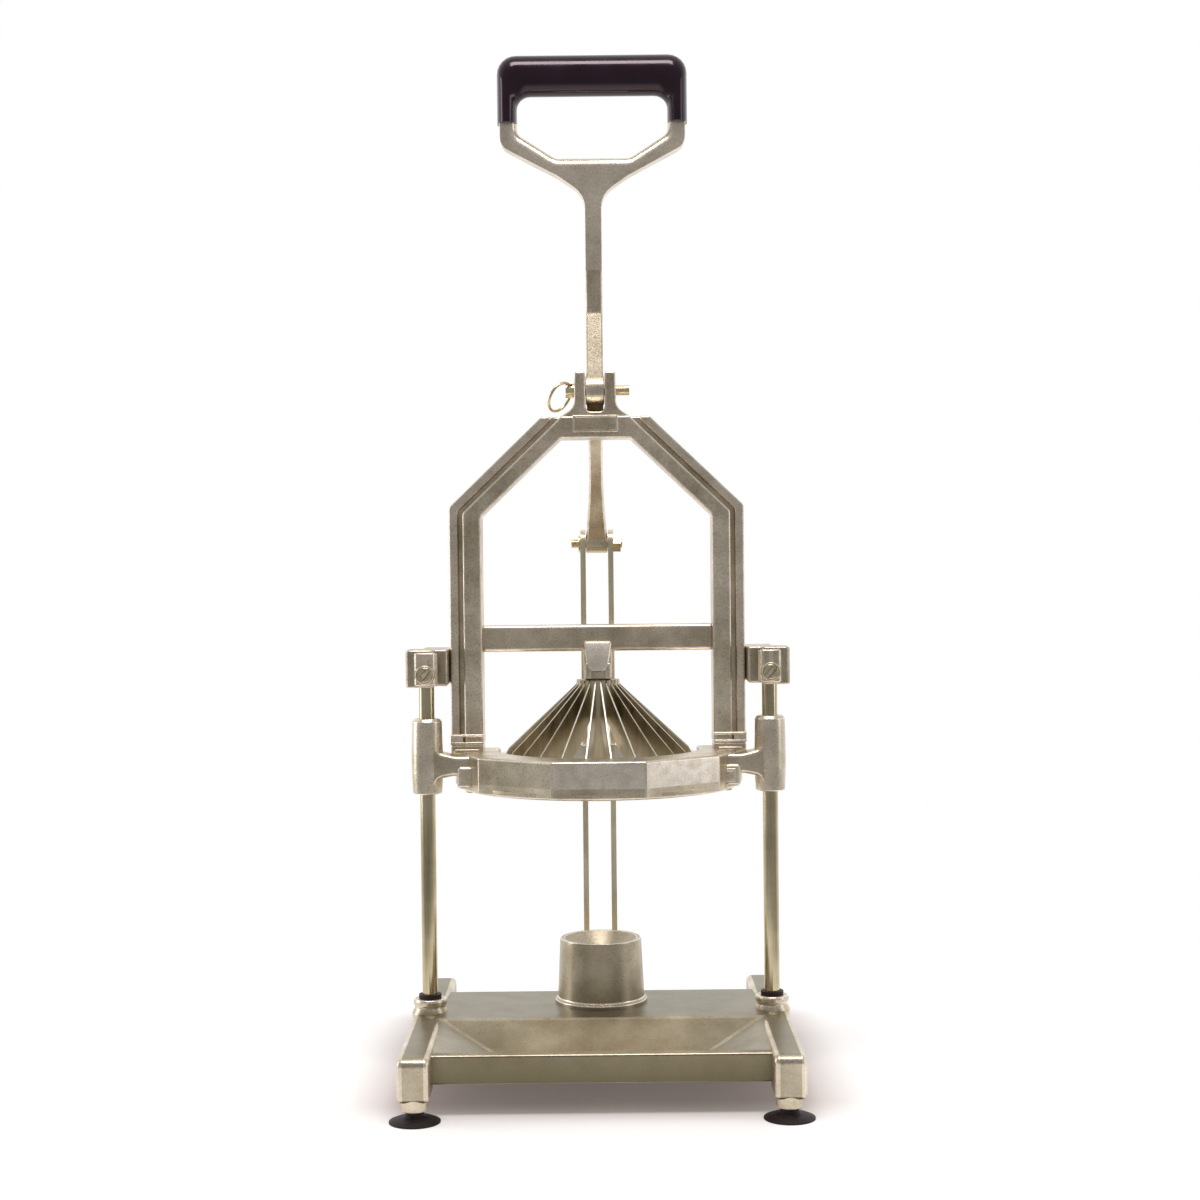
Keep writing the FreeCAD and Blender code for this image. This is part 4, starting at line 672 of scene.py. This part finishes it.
def make_frame():
    """Two bands that make the ribbed arch, with its feet, crossbar, tongue, fork and badge."""
    form = Form()
    inner_x = FRAME_IN - (INNER_TOP - INNER_SHOULDER) / math.tan(SLOPE)
    # The flat band's inner face is tucked behind the rib's, so that they don't coincide
    for offset, tuck, depth, rim in ((0.0, 4.0, (22, 31), 1.2), (8.8, 0.0, (11, 35), 1.5)):
        inner = [(FRAME_IN + tuck, FRAME_BOTTOM), (FRAME_IN + tuck, INNER_SHOULDER + 0.42 * tuck, 3),
                 (inner_x + 0.4 * tuck, INNER_TOP + tuck, 3)]
        outer = house(offset)
        left = [(-point[0], *point[1:]) for point in outer]
        form.prism(left + outer[::-1] + inner + flipped(inner), depth, rim=rim)
    for side in SIDES:
        lip = [(side * x, z, *r) for x, z, *r in house(0.05) + house(5.8)[::-1]]
        # The lip has a painted highlight
        form.prism(lip, LIP_DEPTH, rim=1.3, glow=0.4)
        for x, y, z, rim, tone in FOOT_BLOCKS:
            form.block((side * x[0], side * x[1]), y, z, rim, glow=tone)
    form.block(*CROSSBAR, rim=2.4, steps=4)
    # The tongue is painted bright all over, a painted highlight
    form.loft([((0, y, z), half, (0, 1, 0), deep, corner) for y, z, half, deep, corner in TONGUE],
              glow=BRIGHT)
    form.block(*TONGUE_SEAT, rim=1.4)
    for lug in SEAT_LUGS:
        form.block(*lug, rim=1.0)
    ears = mirrored([
        (25, 402), (20.8, OUTER_TOP + 0.5, 5), (13.2, 411.5, 8), (12.8, 433.8, 1.5), (6.1, 433.8, 1.2),
        (6.1, 409, 3.5)])
    form.prism(ears, FORK_DEPTH, rim=lambda u, v: 0 if v < OUTER_TOP else 1.1)
    # The badge has a painted highlight
    form.block(*BADGE, rim=0.5, glow=0.55)
    form.block(*BADGE_FIELD, rim=0.2)
    form.emit("frame_casting", "cast_aluminium", "upper_frame")


HOLDER_FLAT = 86.0       # from the blade axis to the holder's flat sides
HOLDER_CORNER = 2.2
HOLDER_REAR = AXIS_Y + 12
CARTRIDGE_BORE = 57.5
BOSS_BORE = 6.4


def ring_arc(radius, y_end, steps=48):
    """Points of a circle about the blade axis, through the front, from right to left."""
    rise = math.asin((y_end - AXIS_Y) / radius)
    points = []
    for i in range(steps + 1):
        angle = rise - (math.pi + 2 * rise) * i / steps
        points.append((radius * math.cos(angle), AXIS_Y + radius * math.sin(angle)))
    return points


def facet_painted_light(face):
    """The holder's wide front facets, by the way they face: the middle and the right one with a painted
    highlight, the left one in painted shade.
    """
    if not (face.normal.y < -0.5 and face.calc_area() > WIDE_FACE):
        return None
    if abs(face.normal.x) < 0.3:
        return 0.8
    return -0.35 if face.normal.x < 0 else 0.9


def make_holder():
    """The faceted holder of the cartridge with its flange, webs and guide bosses."""
    form = Form()
    corner = HOLDER_FLAT / math.cos(math.radians(18))
    right = [(corner * math.cos(math.radians(a)), AXIS_Y - corner * math.sin(math.radians(a)), HOLDER_CORNER)
             for a in (72, 36)] + [(corner, AXIS_Y, HOLDER_CORNER), (corner, HOLDER_REAR, HOLDER_CORNER)]
    for radius, heights, ends in ((63.5, (181.5, 197.7), (1,)), (CARTRIDGE_BORE, (176.2, 181.5), ())):
        outline = flipped(right) + right + ring_arc(radius, HOLDER_REAR)
        form.prism(outline, heights, "XY", rim=1.5, ends=ends)
    form.tint(facet_painted_light)
    flange = ring_arc(87.6, HOLDER_REAR - 0.1, 72)[::-1] + ring_arc(CARTRIDGE_BORE, HOLDER_REAR)
    form.prism(flange, (174.6, 178.5), "XY", rim=1.6, ends=(0,))
    boss = [(BOSS_BORE, 173), (9.0, 173, 0.8), (9.65, 186, 3), (9.65, 198, 3), (9.2, 217.5, 1),
            (7.8, 219.4, 0.6), (BOSS_BORE, 219.4)]
    pad = ((72.5, 84), (-12.1, -11), (179.4, 187.8))
    pad_field = ((74, 82.5), (-12.3, -11), (180.9, 186.3))
    for side in SIDES:
        # Painted highlight on the bosses and the pad, painted shade on the webs
        form.lathe(boss, (side * ROD_X, 0, 0), steps=48, glow=0.25)
        web = [(side * 64, 196.5), (side * 88, 196.3, 14), (side * 99, 199.0, 5), (side * 101.5, 206),
               (side * ROD_X, 206), (side * ROD_X, 176), (side * 101.5, 176), (side * 98.5, 182.5, 5),
               (side * 90, 184.2, 5), (side * 64, 184.2)]
        form.prism(web, (-8.4, 8.4), rim=2.4, steps=4, glow=-0.3)
        form.block((side * 69.5, side * 87), (-11.6, 14), (176.8, 190.4), rim=2.2)
        if side > 0:
            form.block(*pad, rim=0.5, glow=0.7)
            form.block(*pad_field, rim=0.2)
        form.block((side * 72.0, side * 92.2), (11, 34.9), (186, 201.55), rim=1.0)
        form.block((side * 74.5, side * 90.0), (10.5, 12), (190, 199), rim=0.7)
    form.emit("holder_casting", "cast_aluminium", "blade_holder")


CLAMP_SCREW_Z = 247
CLAMP_SCREW_RADIUS = 4.7

# A clamp's arm, its inner face and its shoe: x from and to, y, z, rim and tone, painted shade below 0
CLAMP_ARMS = (
    (93.1, 110, (2, 36.8), (239.15, 261.85), 1.4, -0.4),
    (92.9, 97, (3.2, 12), (240.5, 260.5), 1.0, -0.6),
    (88.1, 98.5, (31.8, 36.65), (239.3, 261.7), 1.0, 0.0),
)


def make_clamps():
    """The clamps on the rods' tops, each with its nose, guide shoe and screw seat."""
    for side, name in SIDES.items():
        form = Form()
        x = side * ROD_X
        block = [(side * 118, -10, 3), (side * 118, 12, 3), (side * 100.5, 12, 3), (side * 100.5, -10, 3)]
        # The clamp block is in painted shade; the screw seat has a painted highlight
        form.prism(block, (239, 262), "XY", rim=1.0, glow=-0.4)
        nose = [(x - 7.6, -9), (x - 5.6, -12.6, 3), (x, -13.6, 8), (x + 5.6, -12.6, 3), (x + 7.6, -9)]
        form.prism(nose, (240.2, 260.6), "XY", rim=1.2, steps=4)
        for near, far, y, z, rim, tone in CLAMP_ARMS:
            form.block((side * near, side * far), y, z, rim, glow=tone)
        seat = [(4.9, -9.0), (4.9, -13.9), (5.5, -14.0, 0.3), (6.2, -12.6), (6.2, -9)]
        form.lathe(seat, (x, 0, CLAMP_SCREW_Z), "Y", glow=0.5)
        form.emit("clamp_" + name, "cast_aluminium", "rod_clamp_" + name)


def make_clamp_screws():
    """Screw heads in two halves, with the slot between them."""
    form = Form()
    radius = CLAMP_SCREW_RADIUS
    tilt = math.radians(48)
    pieces = 18
    for side in SIDES:
        x = side * ROD_X
        form.lathe([(0, -10.5), (radius, -10.5), (radius, -6), (0, -6)], (x, 0, CLAMP_SCREW_Z), "Y", steps=40)
        for half in (-1, 1):
            outline = []
            for i in range(pieces + 1):
                angle = math.radians(9.5 + 161 * i / pieces)
                u = radius * math.cos(angle)
                v = radius * math.sin(angle) * half
                outline.append((x + u * math.cos(tilt) - v * math.sin(tilt),
                                CLAMP_SCREW_Z + u * math.sin(tilt) + v * math.cos(tilt)))
            form.prism(outline, (-14.2, -10.6), rim=0.8, ends=(0,))
    form.emit("clamp_screw_heads", "fastener_steel", "clamp_screws")


DECK_Z = 37.5
BASE_FRONT = -103


def deck_painted_shade(face):
    """Painted shade: the deck's front face is dark, its top and the tray a little less."""
    if face.normal.y < -0.9 and face.calc_center_median().y < (BASE_FRONT + 1) * MM:
        return -1.0
    if face.normal.z > 0.1 and face.calc_area() > WIDE_FACE:
        return -0.7
    return None


def level_painted_shade(face):
    """Level faces at the deck's height are in painted shade."""
    if face.normal.z > 0.99 and 37 * MM < face.calc_center_median().z < 38 * MM:
        return -0.95
    return None


def make_base():
    """The deck with its tray, four arms, rod bosses, leg pads and the rear lug."""
    form = Form()
    half = 97.5
    under = 18.3
    low_deck = 31.0
    lip = 35.3
    lip_y = -98.5
    edge_y = -23
    rear = 56
    tray_half = 62
    tray_z = 23.2
    tray_rear = -56
    tray_front = -93
    hollow_rear = 49.5
    hollow_front = -10
    points = [
        (-half, edge_y, DECK_Z), (half, edge_y, DECK_Z), (half, lip_y, lip), (-half, lip_y, lip),
        (-tray_half, tray_rear, tray_z), (tray_half, tray_rear, tray_z),
        (tray_half, tray_front, tray_z), (-tray_half, tray_front, tray_z),
        (half, BASE_FRONT, lip), (-half, BASE_FRONT, lip),
        (half, BASE_FRONT, under), (-half, BASE_FRONT, under),
        (-half, rear, DECK_Z), (half, rear, DECK_Z), (half, rear, under), (-half, rear, under),
        (half, hollow_rear, under), (-half, hollow_rear, under),
        (half, hollow_rear, low_deck), (-half, hollow_rear, low_deck),
        (half, hollow_front, low_deck), (-half, hollow_front, low_deck),
        (half, hollow_front, under), (-half, hollow_front, under)]
    faces = [
        (0, 1, 5, 4), (1, 2, 6, 5), (2, 3, 7, 6), (3, 0, 4, 7), (4, 5, 6, 7), (2, 8, 9, 3), (8, 10, 11, 9),
        (0, 12, 13, 1), (12, 15, 14, 13), (14, 15, 17, 16), (16, 17, 19, 18), (18, 19, 21, 20),
        (20, 21, 23, 22), (22, 23, 11, 10), (1, 13, 14, 16, 18, 20, 22, 10, 8, 2),
        (0, 3, 9, 11, 23, 21, 19, 17, 15, 12)]
    soft = [(0, 1), (2, 3), (8, 9), (10, 11), (4, 5), (5, 6), (6, 7), (7, 4), (0, 4), (1, 5), (2, 6), (3, 7),
            (12, 13), (14, 15)]
    form.solid(points, faces, soft, rim=1.5)
    form.tint(deck_painted_shade)
    arm = [(-120.5, 12, 3.6), (-94.5, 12, 3.6), (-87.5, 19, 4), (69.6, 19, 4), (76.6, 12, 3.6),
           (102.6, 12, 3.6), (102.6, DECK_Z, 5), (-120.5, DECK_Z, 5)]
    leg_pad = [(0, 6.5), (7.4, 6.5, 0.8), (8, 12), (8, 14), (0, 14)]
    rod_boss = [(ROD_RADIUS, 46), (9.7, 46, 0.9), (10.3, 44.6, 0.6), (10.3, 42.4, 0.6), (9.5, 41.6, 0.4),
                (9.6, 40.4, 1), (11.2, 37.4), (11.2, 34), (0, 34)]
    for side in SIDES:
        # The arms are in painted shade
        form.prism(arm, (side * 97, side * 115.5), "YZ", rim=3.2, steps=4, glow=-0.45)
        for y in FEET_Y.values():
            form.lathe(leg_pad, (side * ROD_X, y, 0), steps=40)
        form.lathe(rod_boss, (side * ROD_X, 0, 0), steps=48)
    lug = [(50, 11.5), (108, 11.5, 4), (108, 16.5), (95.7, 16.5, 2), (95.7, 31.3, 2), (108, 31.3),
           (108, 37.3, 3), (50, 37.3)]
    form.prism(lug, (-7.25, 7.25), "YZ", rim=1.0)
    form.tint(level_painted_shade)
    form.emit("base_body", "cast_aluminium", "base_casting")


def make_pedestal():
    """A round seat with a flange at its foot and a stepped hollow in its top."""
    form = Form()
    profile = [(0, DECK_Z), (29, DECK_Z), (29, 39.8, 0.8), (27.3, 41.2, 1.2), (25.6, 77, 0.0),
               (25.2, 78, 0.5), (22.8, 78, 0.7), (13, 69, 1.5), (7.5, 69, 0.6), (7.5, 48), (0, 48)]
    # The pedestal is in painted shade
    form.lathe(profile, (0, AXIS_Y, 0), steps=96, glow=-0.45)
    form.emit("pedestal_casting", "cast_aluminium", "pedestal")


BLADES = 24
BLADE_HALF = 0.45


def make_blades():
    """Thin plates; their upper and lower edges are painted bright: ground steel with a painted highlight."""
    strip = [
        (11.5, 240), (11.5, 218), (18.6, 213), (30, 202), (41.5, 196), (56, 182.2), (60.4, 182.2),
        (60.4, 192), (57.5, 197.5), (12.0, 240)]
    for number in range(BLADES):
        form = Form()
        turn = Matrix.Rotation(math.radians((number + 0.5) * 360 / BLADES), 4, "Z")
        move = Matrix.Translation((0, AXIS_Y * MM, 0)) @ turn
        form.prism(strip, (-BLADE_HALF, BLADE_HALF))
        for face in form.shape.faces:
            face[form.edge] = 0.0 if abs(face.normal.y) > 0.9 else BRIGHT
        bmesh.ops.transform(form.shape, matrix=move, verts=form.shape.verts)
        label = "blade_%02d" % (number + 1)
        form.emit("cutting_" + label, "blade_steel", label)


def make_ring():
    """The cartridge's outer ring, painted bright all over: a painted reflection."""
    form = Form()
    profile = [(57.2, 181.6), (62.9, 181.6), (62.9, 194.4, 0.6), (57.2, 194.4, 0.6), (57.2, 181.6)]
    form.lathe(profile, (0, AXIS_Y, 0), steps=144, glow=BRIGHT)
    form.emit("cartridge_ring", "blade_steel", "blade_ring")


def make_feet():
    """Suction cups: a thin skirt, a shoulder and a neck."""
    profile = [(9.7, 0.0), (14.7, 0.0), (14.7, 0.9, 0.3), (11.5, 2.2, 4), (6.4, 3.2, 1.5),
               (5.3, 4.4, 0.6), (5.3, 6.5), (0, 6.5)]
    for side, name in SIDES.items():
        for end, y in FEET_Y.items():
            form = Form()
            form.lathe(profile, (side * ROD_X, y, 0), steps=48)
            form.emit("cup_%s_%s" % (end, name), "rubber", "suction_foot_%s_%s" % (end, name))


# Stage, lamps and camera

PHOTO_SIZE = 1200.0
LENS_PX = 2020.0
CAMERA_DISTANCE = 1.247
CAMERA_HEIGHT = 0.320
CAMERA_ASIDE = 0.0018
PITCH_DOWN = math.radians(1.305)
ROLL = math.radians(-0.6)
SENSOR = 36.0


# The floor and the painted shadow around the base, in metres
FLOOR_HALF = 1.2
FLOOR_TONES = [(0.3, (0.90, 0.885, 0.88)), (0.7, (0.93, 0.92, 0.915))]
SHADE_TONE = (0.50, 0.40, 0.38)
SHADE_MIDDLE = (0, 0.03, 0)
SHADE_HALF = (0.102, 0.10, 0)
SHADE_REACH = 0.06
LIFT_OPEN = 0.18
LIFT_SHADE = 0.09
FADE_FROM = 0.22
FADE_TO = 0.62

# The room that metal mirrors, from the front (-Y) to the back
ROOM_FROM = -0.5
ROOM_TO = 0.8
ROOM_DARK = 0.29

# Lamps: name, place, target, width, height, power and colour
LAMPS = (
    ("glint", (0.0, -0.60, 2.1), (0, 0, 0.5), 1.3, 0.50, 22.0, (1.0, 0.955, 0.94)),
    ("left", (-1.4, 0.15, 0.55), (0, 0, 0.33), 0.35, 1.1, 4.0, WHITE),
    ("right", (1.4, -0.35, 0.6), (0, 0, 0.33), 0.35, 1.0, 2.0, WHITE),
)


def make_camera():
    """The photograph's camera, in front of the object and a little above its middle."""
    camera = bpy.data.cameras.new("camera")
    camera.sensor_width = SENSOR
    camera.lens = SENSOR * LENS_PX / PHOTO_SIZE
    camera.clip_start = 0.01
    camera.clip_end = 50.0
    obj = bpy.data.objects.new("camera", camera)
    bpy.context.scene.collection.objects.link(obj)
    aim = Matrix.Rotation(math.radians(90) - PITCH_DOWN, 4, "X") @ Matrix.Rotation(ROLL, 4, "Z")
    obj.matrix_world = Matrix.Translation((CAMERA_ASIDE, -CAMERA_DISTANCE, CAMERA_HEIGHT)) @ aim
    bpy.context.scene.camera = obj


def make_floor():
    """A pale floor with a painted shadow close to the base, where it is darker and lifted less, that fades
    into the white around it.
    """
    mesh = bpy.data.meshes.new("floor")
    shape = bmesh.new()
    bmesh.ops.create_grid(shape, x_segments=8, y_segments=8, size=FLOOR_HALF)
    shape.to_mesh(mesh)
    shape.free()
    floor = bpy.data.objects.new("floor", mesh)
    bpy.context.scene.collection.objects.link(floor)
    material, tree, shader = new_material("floor")
    place = place_of(tree)
    tone = ramp(tree, noise(tree, place, scale=3.0), FLOOR_TONES)
    size = vector_math(tree, "ABSOLUTE", vector_math(tree, "SUBTRACT", place, SHADE_MIDDLE))
    outside = vector_math(tree, "MAXIMUM", vector_math(tree, "SUBTRACT", size, SHADE_HALF), (0, 0, 0))
    near = remap(tree, vector_math(tree, "LENGTH", outside), From_Min=SHADE_REACH, From_Max=0.0,
                 prop_interpolation_type="SMOOTHSTEP")
    # Painted shadow: a darker colour close to the base
    tree.links.new(mix(tree, near, tone, plain(tree, SHADE_TONE)), shader.inputs["Base Color"])
    shader.inputs["Roughness"].default_value = 0.9
    rays = node(tree, "ShaderNodeLightPath")
    seen = node(tree, "ShaderNodeMath", prop_operation="MAXIMUM")
    tree.links.new(rays.outputs["Is Camera Ray"], seen.inputs[0])
    tree.links.new(rays.outputs["Is Glossy Ray"], seen.inputs[1])
    glow = remap(tree, near, To_Min=LIFT_OPEN, To_Max=LIFT_SHADE)
    shader.inputs["Emission Color"].default_value = (*WHITE, 1)
    lift = times(tree, seen.outputs[0], glow, clamp=False)
    tree.links.new(lift, shader.inputs["Emission Strength"])
    fade = remap(tree, vector_math(tree, "LENGTH", place), From_Min=FADE_FROM, From_Max=FADE_TO,
                 prop_interpolation_type="SMOOTHSTEP")
    clear = node(tree, "ShaderNodeBsdfTransparent")
    blend = node(tree, "ShaderNodeMixShader")
    tree.links.new(fade, blend.inputs[0])
    tree.links.new(shader.outputs[0], blend.inputs[1])
    tree.links.new(clear.outputs[0], blend.inputs[2])
    tree.links.new(blend.outputs[0], tree.nodes["Material Output"].inputs["Surface"])
    floor.data.materials.append(material)


def make_world():
    """White where the camera looks; what metal mirrors is darker towards the front."""
    world = bpy.data.worlds.new("studio")
    bpy.context.scene.world = world
    world.use_nodes = True
    tree = world.node_tree
    background = tree.nodes["Background"]
    direction = node(tree, "ShaderNodeTexCoord").outputs["Generated"]
    room = remap(tree, parts_of(tree, direction)["Y"],
                 From_Min=ROOM_FROM, From_Max=ROOM_TO, To_Min=ROOM_DARK, To_Max=1.0)
    rays = node(tree, "ShaderNodeLightPath")
    strength = node(tree, "ShaderNodeMix", prop_data_type="FLOAT")
    tree.links.new(rays.outputs["Is Camera Ray"], strength.inputs[0])
    tree.links.new(room, strength.inputs[2])
    strength.inputs[3].default_value = 1.0
    background.inputs["Color"].default_value = (*WHITE, 1)
    tree.links.new(strength.outputs[0], background.inputs["Strength"])


def lamp(name, place, target, width, height, power, colour):
    """A soft rectangular lamp that faces `target`."""
    light = bpy.data.lights.new(name, "AREA")
    light.shape = "RECTANGLE"
    light.size = width
    light.size_y = height
    light.energy = power
    light.color = colour
    obj = bpy.data.objects.new(name, light)
    bpy.context.scene.collection.objects.link(obj)
    obj.location = place
    way = Vector(target) - Vector(place)
    obj.rotation_euler = way.to_track_quat("-Z", "Y").to_euler()


def make_stage():
    """The floor, the white room and the lamps."""
    make_floor()
    make_world()
    for row in LAMPS:
        lamp(*row)
    bpy.context.scene.view_settings.view_transform = "Standard"


make_camera()
make_stage()
paint_frame()

make_lever()
make_grip()
make_frame()
make_holder()
make_clamps()
make_clamp_screws()
make_base()
make_pedestal()
make_blades()
make_ring()
make_feet()
